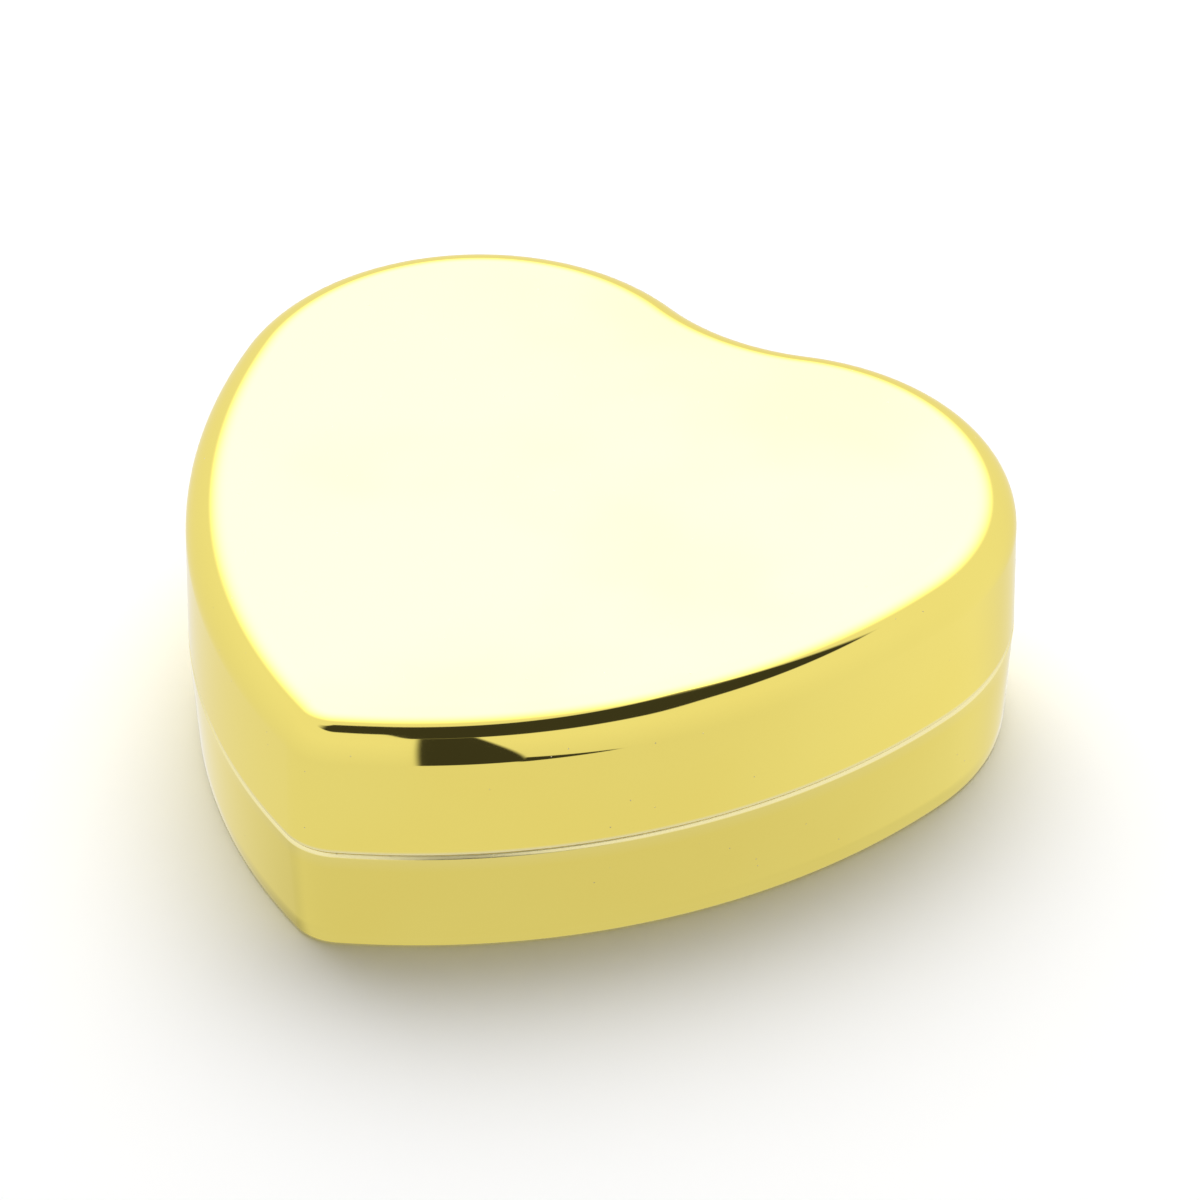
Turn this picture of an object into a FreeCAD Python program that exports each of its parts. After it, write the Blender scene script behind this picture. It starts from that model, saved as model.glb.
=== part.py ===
"""Heart-shaped wind-up music box: a polished two-shell case with a cylinder movement inside.

Millimetres. +Z is up and the case stands on z = 0. The heart's tip points to -Y and its cleft,
which carries the hinge, to +Y. The origin is under the centre of the case's outline.
"""

import FreeCAD, Part
import math
import os

V = FreeCAD.Vector
X_AXIS = V(1, 0, 0)
Y_AXIS = V(0, 1, 0)
Z_AXIS = V(0, 0, 1)

# Case outline
WIDTH = 90.0
LOBE_R = 27.4
CLEFT_R = 24.3
SIDE_R = 76.4
SIDE_TANGENT_DEG = -10.7
TIP_R = 6.65
# Case heights and walls
HEIGHT = 28.9
SEAM_Z = 12.6
SEAM_GAP = 0.15
RIM_CHAMFER = 0.35
BASE_TAPER = 0.9
BASE_WALL = 1.6
BASE_FOOT_ROUND = 0.5
LID_WALL = 1.4
LID_TOP = 1.4
LID_ROUND = 4.6
FLOOR_THICK = 1.2
LEDGE_WIDTH = 1.4
DECK_THICK = 1.1
DECK_BELOW_RIM = 0.2
FIT_GAP = 0.2
LINING_THICK = 0.8
LINING_CLEAR = 0.5
# Hinge in the cleft
KNUCKLE_R = 1.5
HINGE_PIN_R = 0.6
RUN_GAP = 0.05
KNUCKLE_LEN = 4.4
KNUCKLE_GAP = 0.2
PIN_HEAD_R = 1.0
PIN_HEAD_LEN = 0.5
HINGE_CLEAR = 0.25
WEB_REACH = 12.0
# Movement: place of the cylinder axis line and barrel in the case
MOVE_X = -2.0
MOVE_Y = 8.0
BED_THICK = 1.4
BED_X0, BED_X1 = -23.5, 27.0
BED_Y0, BED_Y1 = -17.5, 16.5
BED_CORNER_R = 2.5
# Going train
BARREL_X = -12.0
MODULE_DRIVE = 0.5
WHEEL_TEETH = 40
CROWN_TEETH = 16
WHEEL_THICK = 1.2
DRUM_FLOOR_GAP = 1.4
TOOTH_PLAY = 0.28
CROWN_DISC = 1.0
CROWN_FACE = 1.2
CROWN_ROOT = 0.2
CAN_R = 7.5
CAN_WALL = 0.5
CAN_HEIGHT = 8.6
CAN_LIFT = 0.3
CAP_THICK = 0.6
ARBOR_R = 1.5
ARBOR_CLEAR = 0.5
ARBOR_PROUD = 0.8
RATCHET_R = 4.0
RATCHET_TEETH = 18
RATCHET_THICK = 0.8
RATCHET_LIFT = 0.3
RATCHET_DEPTH = 0.7
CLICK_GAP = 0.12
CLICK_LEAF = 0.4
CLICK_OFF = 0.9
CLICK_LEN = 5.0
CLICK_FOOT = 2.5
CLICK_TIP = 0.6
SPRING_TURNS = 8
SPRING_THICK = 0.22
SPRING_HUB = 0.6
SPRING_CLEAR = 0.15
# Pinned cylinder and comb
DRUM_R = 5.5
DRUM_LEN = 17.6
PIN_R = 0.2
PIN_REACH = 0.5
PIN_SINK = 0.6
CYL_ARBOR_R = 0.8
ARBOR_END = 0.3
NOTES = 18
NOTE_PITCH = 0.9
TOOTH_GAP = 0.3
COMB_THICK = 0.8
COMB_CLEAR = 0.18
COMB_DEPTH = 11.0
COMB_SEAT = 4.6
COMB_SCREW_LEN = 4.0
COMB_SCREW_IN = 3.5
SLOT_ROOT = 0.3
SLOT_RISE = 2.2
# Governor
MODULE_GOV = 0.4
CYL_WHEEL_TEETH = 27
PINION_TEETH = 9
GOV_TEETH = 16
WORM_STARTS = 2
WORM_R = 1.2
WORM_ADD = 0.35
WORM_PLAY = 0.06
GOV_SHAFT_R = 0.5
FAN_R = 3.2
FAN_H = 1.7
FAN_THICK = 0.25
FAN_HUB_R = 1.0
FAN_GAP = 0.4
DISC_R = 2.4
DISC_THICK = 0.3
BRAKE_GAP = 0.2
FINGER_THICK = 0.4
FINGER_WIDTH = 0.8
FINGER_LEN = 3.4
FINGER_DEG = 205.0
ARM_GAP = 0.3
ARM_THICK = 0.8
ARM_HALF = 1.2
BRACKET_THICK = 1.0
BRACKET_MARGIN = 2.6
BRACKET_FOOT_IN = 1.8
BRACKET_FOOT_LEN = 4.6
FAN_CLEAR = 0.4
WORM_LEN = 5.0
WORM_RUNOUT = 0.6
WORM_THREAD = 0.28
WORM_ROOT = 0.15
PIVOT_DEPTH = 0.8
PIVOT_CLEAR = 0.2
STOP_OFF_X = 2.7
STOP_OFF_Y = 3.5
STOP_EAR = 1.3
STOP_EAR_DROP = 2.0
STOP_EAR_THICK = 1.5
STOP_PROUD = 0.3
STOP_FOOT_DROP = 3.0
STOP_HOLE_GAP = 0.4
POST_GAP = 0.5
POST_THICK = 1.4
POST_MARGIN = 3.0
POST_ABOVE = 2.4
POST_ROUND = 1.8
GOV_WHEEL_GAP = 0.9
GOV_WHEEL_THICK = 1.0
GOV_PINION_LEN = 1.2
STOP_TRAVEL = 1.0
STOP_R = 0.6
# Clear cover over the movement
COVER_WALL = 0.8
COVER_HEADROOM = 0.38
COVER_FLANGE = 2.0
COVER_ROUND = 2.0
COVER_OVER_X = 0.6
COVER_OVER_Y = 1.4
BED_SCREW_IN = 2.6
# Winding key
KEY_SPAN = 22.0
KEY_BLADE = 2.0
KEY_SLEEVE_R = 2.4
KEY_Z0 = 0.8
KEY_FLOOR_GAP = 0.5
KEY_END = 1.0
KEY_WING_DROP = 0.6
SCREW_R = 1.0
SCREW_HEAD_R = 1.9
SCREW_HEAD_H = 0.9
SCREW_SLOT = 0.45
SMALL_SCREW = 0.55
FOOT_THICK = 1.0
BRIDGE_REACH = 8.4
BRIDGE_FOOT = 2.6
BRIDGE_FOOT_LEN = 3.0
BRIDGE_GAP = 0.5
BRIDGE_THICK = 1.2
BRIDGE_LEG = 1.6
BRIDGE_HALF_BAR = 1.9


# Derived heart geometry, before it is centred on the origin
LOBE_X = WIDTH / 2 - LOBE_R
CLEFT_Y = math.sqrt((LOBE_R + CLEFT_R) ** 2 - LOBE_X**2)
SIDE_A = math.radians(SIDE_TANGENT_DEG)
SIDE_X = LOBE_X - (SIDE_R - LOBE_R) * math.cos(SIDE_A)
SIDE_Y = -(SIDE_R - LOBE_R) * math.sin(SIDE_A)
TIP_Y = SIDE_Y - math.sqrt((SIDE_R - TIP_R) ** 2 - SIDE_X**2)
HINGE_AXIS_LOCAL = LOBE_R + HINGE_CLEAR
BACK_LOCAL = HINGE_AXIS_LOCAL + KNUCKLE_R
CENTRE_Y = (BACK_LOCAL + TIP_Y - TIP_R) / 2
HINGE_Y = HINGE_AXIS_LOCAL - CENTRE_Y
HINGE_Z = SEAM_Z + SEAM_GAP / 2

# The movement hangs from the lid's height: stacked from the top down, it gives the floor and the key's well
GOV_ADD = 0.8 * MODULE_GOV
GOV_R = MODULE_GOV * GOV_TEETH / 2
LID_CEILING_Z = HEIGHT - LID_TOP
COVER_TOP_Z = LID_CEILING_Z - LINING_THICK - LINING_CLEAR
ARM_TOP_Z = COVER_TOP_Z - COVER_WALL - COVER_HEADROOM
ARM_Z = ARM_TOP_Z - ARM_THICK
FINGER_Z = ARM_Z - ARM_GAP - FINGER_THICK
DISC_Z = FINGER_Z - BRAKE_GAP - DISC_THICK
FAN_Z = DISC_Z - FAN_GAP - FAN_H
CYL_AXIS_Z = FAN_Z - FAN_GAP - GOV_ADD - GOV_R
BED_Z = CYL_AXIS_Z - DRUM_FLOOR_GAP - PIN_REACH - DRUM_R
FLOOR_Z = BED_Z - BED_THICK
FLOOR_UNDER_Z = FLOOR_Z - FLOOR_THICK
DECK_TOP_Z = SEAM_Z - DECK_BELOW_RIM
DECK_Z = DECK_TOP_Z - DECK_THICK
KEY_Z1 = FLOOR_UNDER_Z - KEY_FLOOR_GAP
CAN_Z0 = BED_Z + RATCHET_LIFT + RATCHET_THICK + CAN_LIFT
CAN_Z1 = CAN_Z0 + CAN_HEIGHT

# Derived train geometry, in movement coordinates
WHEEL_R = MODULE_DRIVE * WHEEL_TEETH / 2
CROWN_R = MODULE_DRIVE * CROWN_TEETH / 2
WHEEL_MID_Z = CYL_AXIS_Z - CROWN_R
DRIVE_ADD = 0.8 * MODULE_DRIVE
DRIVE_DED = 1.1 * MODULE_DRIVE
CROWN_X = BARREL_X + WHEEL_R
DRUM_X0 = CROWN_X + DRIVE_DED + CROWN_DISC
DRUM_X1 = DRUM_X0 + DRUM_LEN
GOV_DED = 1.1 * MODULE_GOV
CYL_WHEEL_R = MODULE_GOV * CYL_WHEEL_TEETH / 2
PINION_R = MODULE_GOV * PINION_TEETH / 2
GOV_Y = CYL_WHEEL_R + PINION_R
CYL_WHEEL_X0 = DRUM_X1
CYL_WHEEL_X1 = CYL_WHEEL_X0 + GOV_PINION_LEN
POST_X0 = CYL_WHEEL_X1 + POST_GAP
POST_X1 = POST_X0 + POST_THICK
GOV_WHEEL_X0 = POST_X1 + GOV_WHEEL_GAP
GOV_WHEEL_X1 = GOV_WHEEL_X0 + GOV_WHEEL_THICK
WORM_X = (GOV_WHEEL_X0 + GOV_WHEEL_X1) / 2
WORM_Y = GOV_Y + GOV_R + WORM_R
BRACKET_X0 = WORM_X + FAN_R + FAN_CLEAR
BRACKET_X1 = BRACKET_X0 + BRACKET_THICK
STOP_X = WORM_X + STOP_OFF_X
STOP_Y = WORM_Y + STOP_OFF_Y
BRIDGE_X1 = CROWN_X - DRIVE_ADD - BRIDGE_GAP
BRIDGE_X0 = BRIDGE_X1 - BRIDGE_THICK
BRIDGE_FOOT_Y = BRIDGE_REACH - BRIDGE_FOOT / 2
FOOT_PLACES = [
    (BRIDGE_X1 + BRIDGE_FOOT_LEN / 2, -BRIDGE_FOOT_Y),
    (BRIDGE_X1 + BRIDGE_FOOT_LEN / 2, BRIDGE_FOOT_Y),
    (BRACKET_X0 - BRACKET_FOOT_IN / 3, GOV_Y - BRACKET_MARGIN - BRACKET_FOOT_LEN / 3),
]


def at_move(shape):
    """The shape carried from movement coordinates to the case."""
    moved = shape.copy()
    moved.translate(V(MOVE_X, MOVE_Y, 0))
    return moved


def cylinder(radius, length, base, axis=Z_AXIS):
    """A plain round bar."""
    return Part.makeCylinder(radius, length, base, axis)


def drill(radius, point, axis=Z_AXIS):
    """A bar long enough to bore right through any piece, centred on a point."""
    reach = 2 * WIDTH
    return cylinder(radius, 2 * reach, point - axis * reach, axis)


def block(x0, x1, y0, y1, z0, z1):
    """A box between two corners."""
    return Part.makeBox(x1 - x0, y1 - y0, z1 - z0, V(x0, y0, z0))


def round_plate(x0, x1, y0, y1, z0, z1, corner):
    """A box with its four upright edges rounded."""
    plate = block(x0, x1, y0, y1, z0, z1)
    upright = [e for e in plate.Edges if abs(e.tangentAt(e.FirstParameter).z) > 0.9]
    return plate.makeFillet(corner, upright)


def heart_wire(inset, z):
    """The heart outline moved inwards by inset: tip, side, lobe and cleft arcs, all tangent."""
    lobe = LOBE_R - inset
    cleft = CLEFT_R + inset
    side = SIDE_R - inset
    tip = TIP_R - inset
    shift = -CENTRE_Y

    def on(cx, cy, r, a):
        return V(cx + r * math.cos(a), cy + r * math.sin(a) + shift, z)

    to_cleft = math.atan2(CLEFT_Y, -LOBE_X)
    to_tip = math.atan2(TIP_Y - SIDE_Y, -SIDE_X)
    down = -math.pi / 2
    from_cleft = to_cleft - math.pi
    right = [
        (0.0, TIP_Y, tip, down, to_tip),
        (SIDE_X, SIDE_Y, side, to_tip, SIDE_A),
        (LOBE_X, 0.0, lobe, SIDE_A, to_cleft),
        (0.0, CLEFT_Y, cleft, from_cleft, down),
    ]
    edges = []
    for cx, cy, r, a0, a1 in right:
        arc = Part.Arc(on(cx, cy, r, a0), on(cx, cy, r, (a0 + a1) / 2), on(cx, cy, r, a1))
        edges.append(arc.toShape())
    for cx, cy, r, a0, a1 in reversed(right):
        ends = [on(-cx, cy, r, math.pi - a) for a in (a1, (a0 + a1) / 2, a0)]
        edges.append(Part.Arc(*ends).toShape())
    return Part.Wire(edges)


def heart_prism(inset, z0, z1):
    """An upright heart-shaped solid."""
    return Part.Face(heart_wire(inset, z0)).extrude(V(0, 0, z1 - z0))


def heart_taper(inset0, z0, inset1, z1):
    """A heart-shaped solid whose wall leans from one inset to the other."""
    return Part.makeLoft([heart_wire(inset0, z0), heart_wire(inset1, z1)], True, True)


def edges_at(shape, z):
    """The edges of a shape that lie wholly at one height."""
    return [e for e in shape.Edges if all(abs(v.Z - z) < 1e-4 for v in e.Vertexes)]


def make_base_shell():
    """Lower shell: leaning wall, raised floor, deck ledge and screw holes."""
    shoulder_z = SEAM_Z - RIM_CHAMFER
    body = heart_taper(BASE_TAPER, 0, 0, shoulder_z)
    body = body.makeFillet(BASE_FOOT_ROUND, edges_at(body, 0))
    body = body.fuse(heart_taper(0, shoulder_z, RIM_CHAMFER, SEAM_Z)).removeSplitter()
    well = heart_prism(BASE_TAPER + BASE_WALL, -1, FLOOR_UNDER_Z)
    pocket = heart_prism(BASE_WALL + LEDGE_WIDTH, FLOOR_Z, SEAM_Z + 1)
    seat = heart_prism(BASE_WALL, DECK_Z, SEAM_Z + 1)
    body = body.cut(well).cut(pocket).cut(seat)
    body = body.cut(at_move(drill(ARBOR_R + ARBOR_CLEAR, V(BARREL_X, 0, 0))))
    for x, y in SCREW_PLACES:
        body = body.cut(at_move(drill(SCREW_R + FIT_GAP, V(x, y, 0))))
    return body


def make_lid_shell():
    """Upper shell: straight wall, broad round at the top and a hollow of even wall."""
    z0 = SEAM_Z + SEAM_GAP
    body = heart_prism(0, z0, HEIGHT)
    body = body.makeFillet(LID_ROUND, edges_at(body, HEIGHT))
    hollow = heart_prism(LID_WALL, z0 - 1, LID_CEILING_Z)
    hollow = hollow.makeFillet(LID_ROUND - LID_WALL, edges_at(hollow, LID_CEILING_Z))
    return body.cut(hollow)


def hinge_barrel(x0, length):
    """One hinge knuckle with its pin bore."""
    start = V(x0, HINGE_Y, HINGE_Z)
    bore = cylinder(HINGE_PIN_R + RUN_GAP, length, start, X_AXIS)
    return cylinder(KNUCKLE_R, length, start, X_AXIS), bore


def hinge_knuckle(x0, z0, z1, case):
    """A knuckle with the web that joins it to the case wall between two heights."""
    barrel, bore = hinge_barrel(x0, KNUCKLE_LEN)
    web = block(x0, x0 + KNUCKLE_LEN, HINGE_Y - WEB_REACH, HINGE_Y, z0, z1)
    return barrel.fuse(web).cut(case).cut(bore)


def make_hinge_base_knuckles():
    """The two outer knuckles, fixed to the lower shell."""
    case = heart_taper(BASE_TAPER, 0, 0, SEAM_Z - RIM_CHAMFER)
    case = case.fuse(heart_prism(0, SEAM_Z - RIM_CHAMFER, HEIGHT))
    step = KNUCKLE_LEN + KNUCKLE_GAP
    z0 = HINGE_Z - KNUCKLE_R
    z1 = SEAM_Z - RIM_CHAMFER
    middle = -KNUCKLE_LEN / 2
    sides = [hinge_knuckle(x, z0, z1, case) for x in (middle - step, middle + step)]
    return Part.makeCompound([solid for side in sides for solid in side.Solids])


def make_hinge_lid_knuckle():
    """The middle knuckle, fixed to the lid."""
    case = heart_prism(0, 0, HEIGHT)
    return hinge_knuckle(-KNUCKLE_LEN / 2, SEAM_Z + SEAM_GAP, HINGE_Z + KNUCKLE_R, case)


def make_hinge_pin():
    """The hinge pin with a small head at each end."""
    half = KNUCKLE_LEN * 1.5 + KNUCKLE_GAP
    pin = cylinder(HINGE_PIN_R, 2 * half, V(-half, HINGE_Y, HINGE_Z), X_AXIS)
    for x in (-half - PIN_HEAD_LEN, half):
        pin = pin.fuse(cylinder(PIN_HEAD_R, PIN_HEAD_LEN, V(x, HINGE_Y, HINGE_Z), X_AXIS))
    return pin


COVER_X0, COVER_X1 = BED_X0 - COVER_OVER_X, BED_X1 + COVER_OVER_X
COVER_Y0, COVER_Y1 = BED_Y0 - COVER_OVER_Y, BED_Y1 + COVER_OVER_Y
SCREW_PLACES = [
    (BED_X0 + BED_SCREW_IN, BED_Y0 + BED_SCREW_IN),
    (BED_X0 + BED_SCREW_IN, BED_Y1 - BED_SCREW_IN),
    (BED_X1 - BED_SCREW_IN, BED_Y0 + BED_SCREW_IN),
]


def make_deck():
    """Heart-shaped deck on the ledge, with the movement's window."""
    deck = heart_prism(BASE_WALL + FIT_GAP, DECK_Z, DECK_TOP_Z)
    window = round_plate(COVER_X0, COVER_X1, COVER_Y0, COVER_Y1, 0, 2 * DECK_TOP_Z, COVER_ROUND)
    return deck.cut(at_move(window))


def make_dust_cover():
    """Clear cap over the movement, with a flange that rests on the deck."""
    z0 = DECK_TOP_Z
    f = COVER_FLANGE
    shell = round_plate(COVER_X0, COVER_X1, COVER_Y0, COVER_Y1, z0, COVER_TOP_Z, COVER_ROUND)
    flange = round_plate(
        COVER_X0 - f, COVER_X1 + f, COVER_Y0 - f, COVER_Y1 + f, z0, z0 + COVER_WALL, COVER_ROUND + f
    )
    w = COVER_WALL
    inside = round_plate(
        COVER_X0 + w, COVER_X1 - w, COVER_Y0 + w, COVER_Y1 - w, z0 - 1, COVER_TOP_Z - w, COVER_ROUND - w
    )
    hole = drill(STOP_R + STOP_HOLE_GAP, V(STOP_X, STOP_Y, 0))
    return at_move(shell.fuse(flange).cut(inside).cut(hole).removeSplitter())


def make_lid_lining():
    """Flocked board under the lid's ceiling."""
    return heart_prism(LID_ROUND, LID_CEILING_Z - LINING_THICK, LID_CEILING_Z)


def make_bedplate():
    """Movement bedplate with the comb seat and the right-hand bearing post."""
    plate = round_plate(BED_X0, BED_X1, BED_Y0, BED_Y1, FLOOR_Z, BED_Z, BED_CORNER_R)
    seat_top = CYL_AXIS_Z - COMB_THICK / 2
    seat = block(COMB_X0, COMB_X1, COMB_BACK_Y, COMB_SEAT_Y, BED_Z, seat_top)
    post = block(POST_X0, POST_X1, -POST_MARGIN, GOV_Y + POST_ABOVE, BED_Z, CYL_AXIS_Z + POST_ABOVE)
    top = [e for e in post.Edges if abs(e.tangentAt(0).x) > 0.9 and e.CenterOfMass.z > CYL_AXIS_Z]
    post = post.makeFillet(POST_ROUND, top)
    bed = plate.fuse(seat).fuse(post).removeSplitter()
    bed = bed.cut(drill(ARBOR_R + RUN_GAP, V(BARREL_X, 0, 0)))
    bed = bed.cut(drill(CYL_ARBOR_R + RUN_GAP, V(0, 0, CYL_AXIS_Z), X_AXIS))
    bed = bed.cut(drill(GOV_SHAFT_R + RUN_GAP, V(0, GOV_Y, CYL_AXIS_Z), X_AXIS))
    pivot_z = BED_Z - PIVOT_DEPTH - PIVOT_CLEAR
    bed = bed.cut(cylinder(GOV_SHAFT_R + RUN_GAP, BED_THICK, V(WORM_X, WORM_Y, pivot_z)))
    for x, y in SCREW_PLACES:
        bed = bed.cut(drill(SCREW_R, V(x, y, 0)))
    for x, y in FOOT_PLACES:
        bed = bed.cut(drill(SCREW_R * SMALL_SCREW, V(x, y, 0)))
    for x in COMB_SCREW_X:
        bed = bed.cut(cylinder(SCREW_R, COMB_SCREW_LEN, V(x, COMB_SCREW_Y, seat_top - COMB_SCREW_LEN)))
    return at_move(bed)


COMB_X0 = DRUM_X0 + (DRUM_LEN - NOTES * NOTE_PITCH) / 2 - TOOTH_GAP / 2
COMB_X1 = COMB_X0 + NOTES * NOTE_PITCH + TOOTH_GAP
COMB_TIP_Y = -(DRUM_R + PIN_REACH + COMB_CLEAR)
COMB_BACK_Y = COMB_TIP_Y - COMB_DEPTH
COMB_SEAT_Y = COMB_BACK_Y + COMB_SEAT
COMB_SCREW_Y = COMB_BACK_Y + COMB_SEAT / 2
COMB_SCREW_X = (COMB_X0 + COMB_SCREW_IN, COMB_X1 - COMB_SCREW_IN)


def make_comb():
    """Steel comb: a plate slotted into eighteen tongues that shorten towards the treble."""
    z0 = CYL_AXIS_Z - COMB_THICK / 2
    comb = block(COMB_X0, COMB_X1, COMB_BACK_Y, COMB_TIP_Y, z0, z0 + COMB_THICK)
    slots = []
    for i in range(NOTES + 1):
        x = COMB_X0 + i * NOTE_PITCH
        root = COMB_SEAT_Y + SLOT_ROOT + SLOT_RISE * i / NOTES
        slots.append(block(x, x + TOOTH_GAP, root, COMB_TIP_Y + 1, z0 - 1, z0 + COMB_THICK + 1))
    comb = comb.cut(Part.makeCompound(slots))
    for x in COMB_SCREW_X:
        comb = comb.cut(drill(SCREW_R + FIT_GAP, V(x, COMB_SCREW_Y, z0)))
    return at_move(comb)


def slotted_screw(x, y, seat_z, shank, up, scale=1.0):
    """A cheese-head screw seated at a height; up is 1 where the head is on top."""
    axis = V(0, 0, up)
    head_r = SCREW_HEAD_R * scale
    head_h = SCREW_HEAD_H * scale
    half_slot = SCREW_SLOT * scale / 2
    head = cylinder(head_r, head_h, V(x, y, seat_z), axis)
    slot_z = seat_z + up * head_h * 0.8
    deep = head_h / 4
    slot = block(x - 2 * head_r, x + 2 * head_r, y - half_slot, y + half_slot, slot_z - deep, slot_z + deep)
    return head.cut(slot).fuse(cylinder(SCREW_R * scale, shank, V(x, y, seat_z), -axis))


def make_comb_screws():
    """The two screws that hold the comb."""
    top = CYL_AXIS_Z + COMB_THICK / 2
    screws = [slotted_screw(x, COMB_SCREW_Y, top, COMB_SCREW_LEN, 1) for x in COMB_SCREW_X]
    return at_move(Part.makeCompound(screws))


def make_movement_screws():
    """The three screws that hold the bedplate to the floor from below."""
    shank = FLOOR_THICK + BED_THICK
    screws = [slotted_screw(x, y, FLOOR_UNDER_Z, shank, -1) for x, y in SCREW_PLACES]
    return at_move(Part.makeCompound(screws))


def make_cylinder_bridge():
    """Stamped bridge astride the great wheel that carries the cylinder's left end."""
    x0, x1, reach = BRIDGE_X0, BRIDGE_X1, BRIDGE_REACH
    leg = BRIDGE_LEG
    top = CYL_AXIS_Z + BRIDGE_HALF_BAR
    foot_top = BED_Z + FOOT_THICK
    bridge = block(x0, x1, -reach, reach, CYL_AXIS_Z - BRIDGE_HALF_BAR, top)
    for y in (-reach, reach - leg):
        bridge = bridge.fuse(block(x0, x1, y, y + leg, BED_Z, top))
    for y in (-reach, reach - BRIDGE_FOOT):
        bridge = bridge.fuse(block(x0, x1 + BRIDGE_FOOT_LEN, y, y + BRIDGE_FOOT, BED_Z, foot_top))
    bridge = bridge.removeSplitter()
    for x, y in FOOT_PLACES:
        bridge = bridge.cut(drill(SCREW_R * SMALL_SCREW, V(x, y, 0)))
    return at_move(bridge.cut(drill(CYL_ARBOR_R + RUN_GAP, V(0, 0, CYL_AXIS_Z), X_AXIS)))


def make_bracket_screws():
    """The small screws that hold the bridge and the governor bracket."""
    seat = BED_Z + FOOT_THICK
    shank = FOOT_THICK + BED_THICK * 0.8
    screws = [slotted_screw(x, y, seat, shank, 1, SMALL_SCREW) for x, y in FOOT_PLACES]
    return at_move(Part.makeCompound(screws))


def toothed_disc(module, teeth, thick, add, ded, play, phase=0.0):
    """A spur wheel about +Z from z 0: straight-flanked teeth thinned by the play."""
    pitch_r = module * teeth / 2
    half = (math.pi * module / 2 - play) / 2
    points = []
    for i in range(teeth):
        mid = phase + 2 * math.pi * i / teeth
        for r, t in ((pitch_r - ded, 1.35), (pitch_r + add, 0.6)):
            points.append((r, mid - half * t / r))
        for r, t in ((pitch_r + add, 0.6), (pitch_r - ded, 1.35)):
            points.append((r, mid + half * t / r))
    ring = [V(r * math.cos(a), r * math.sin(a), 0) for r, a in points]
    return Part.Face(Part.makePolygon(ring + ring[:1])).extrude(V(0, 0, thick))


def gov_disc(teeth, thick, play, phase):
    """A spur wheel of the governor's fine module."""
    return toothed_disc(MODULE_GOV, teeth, thick, GOV_ADD, GOV_DED, play, phase)


def lay_along_x(shape, x, y, z):
    """A shape made about +Z turned so that its axis is +X, then placed."""
    turned = shape.copy()
    turned.rotate(V(0, 0, 0), Y_AXIS, 90)
    turned.translate(V(x, y, z))
    return turned


def make_great_wheel():
    """Great wheel round the barrel, one tooth centred towards the cylinder."""
    wheel = toothed_disc(MODULE_DRIVE, WHEEL_TEETH, WHEEL_THICK, DRIVE_ADD, DRIVE_DED, TOOTH_PLAY)
    wheel.translate(V(BARREL_X, 0, WHEEL_MID_Z - WHEEL_THICK / 2))
    return at_move(wheel.cut(drill(CAN_R, V(BARREL_X, 0, 0))))


def make_barrel():
    """Spring barrel: a cup open at the top, bored for the arbor."""
    cup = cylinder(CAN_R, CAN_Z1 - CAN_Z0, V(BARREL_X, 0, CAN_Z0))
    cup = cup.cut(cylinder(CAN_R - CAN_WALL, CAN_HEIGHT, V(BARREL_X, 0, CAN_Z0 + CAN_WALL)))
    return at_move(cup.cut(drill(ARBOR_R + RUN_GAP, V(BARREL_X, 0, 0))))


def make_barrel_cap():
    """Disc that closes the barrel."""
    cap = cylinder(CAN_R - CAN_WALL, CAP_THICK, V(BARREL_X, 0, CAN_Z1 - CAP_THICK))
    return at_move(cap.cut(drill(ARBOR_R + RUN_GAP, V(BARREL_X, 0, 0))))


def make_mainspring():
    """Spiral ribbon in the barrel, wound from half-turn arcs."""
    inner, outer = ARBOR_R + SPRING_HUB, CAN_R - CAN_WALL - SPRING_CLEAR
    step = (outer - inner - SPRING_THICK) / (2 * SPRING_TURNS)
    z0 = CAN_Z0 + CAN_WALL + SPRING_CLEAR
    height = CAN_Z1 - CAP_THICK - SPRING_CLEAR - z0

    def chain(offset):
        arcs = []
        start = V(inner + offset, 0, 0)
        for i in range(2 * SPRING_TURNS):
            side = 1 if i % 2 == 0 else -1
            r0 = inner + offset + step * i
            end = V(-side * (r0 + step), 0, 0)
            mid_x = (start.x + end.x) / 2
            middle = V(mid_x, side * abs(start.x - end.x) / 2, 0)
            arcs.append(Part.Arc(start, middle, end).toShape())
            start = end
        return arcs

    low, high = chain(0.0), chain(SPRING_THICK)
    first = Part.LineSegment(low[0].Vertexes[0].Point, high[0].Vertexes[0].Point).toShape()
    last = Part.LineSegment(low[-1].Vertexes[-1].Point, high[-1].Vertexes[-1].Point).toShape()
    wire = Part.Wire(Part.__sortEdges__(low + [last] + high + [first]))
    ribbon = Part.Face(wire).extrude(V(0, 0, height))
    ribbon.translate(V(BARREL_X, 0, z0))
    return at_move(ribbon)


def make_winding_arbor():
    """Arbor from the key up through bedplate and barrel."""
    z0 = KEY_Z0 + KEY_END
    return at_move(cylinder(ARBOR_R, CAN_Z1 + ARBOR_PROUD - z0, V(BARREL_X, 0, z0)))


def make_ratchet_wheel():
    """Saw-toothed wheel on the arbor between bedplate and barrel."""
    points = []
    for i in range(RATCHET_TEETH):
        a = 2 * math.pi * i / RATCHET_TEETH
        for r, turn in ((RATCHET_R - RATCHET_DEPTH, a), (RATCHET_R, a + 0.02)):
            points.append(V(r * math.cos(turn), r * math.sin(turn), 0))
    wheel = Part.Face(Part.makePolygon(points + points[:1])).extrude(V(0, 0, RATCHET_THICK))
    wheel.translate(V(BARREL_X, 0, BED_Z + RATCHET_LIFT))
    return at_move(wheel.cut(drill(ARBOR_R, V(BARREL_X, 0, 0))))


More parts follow.
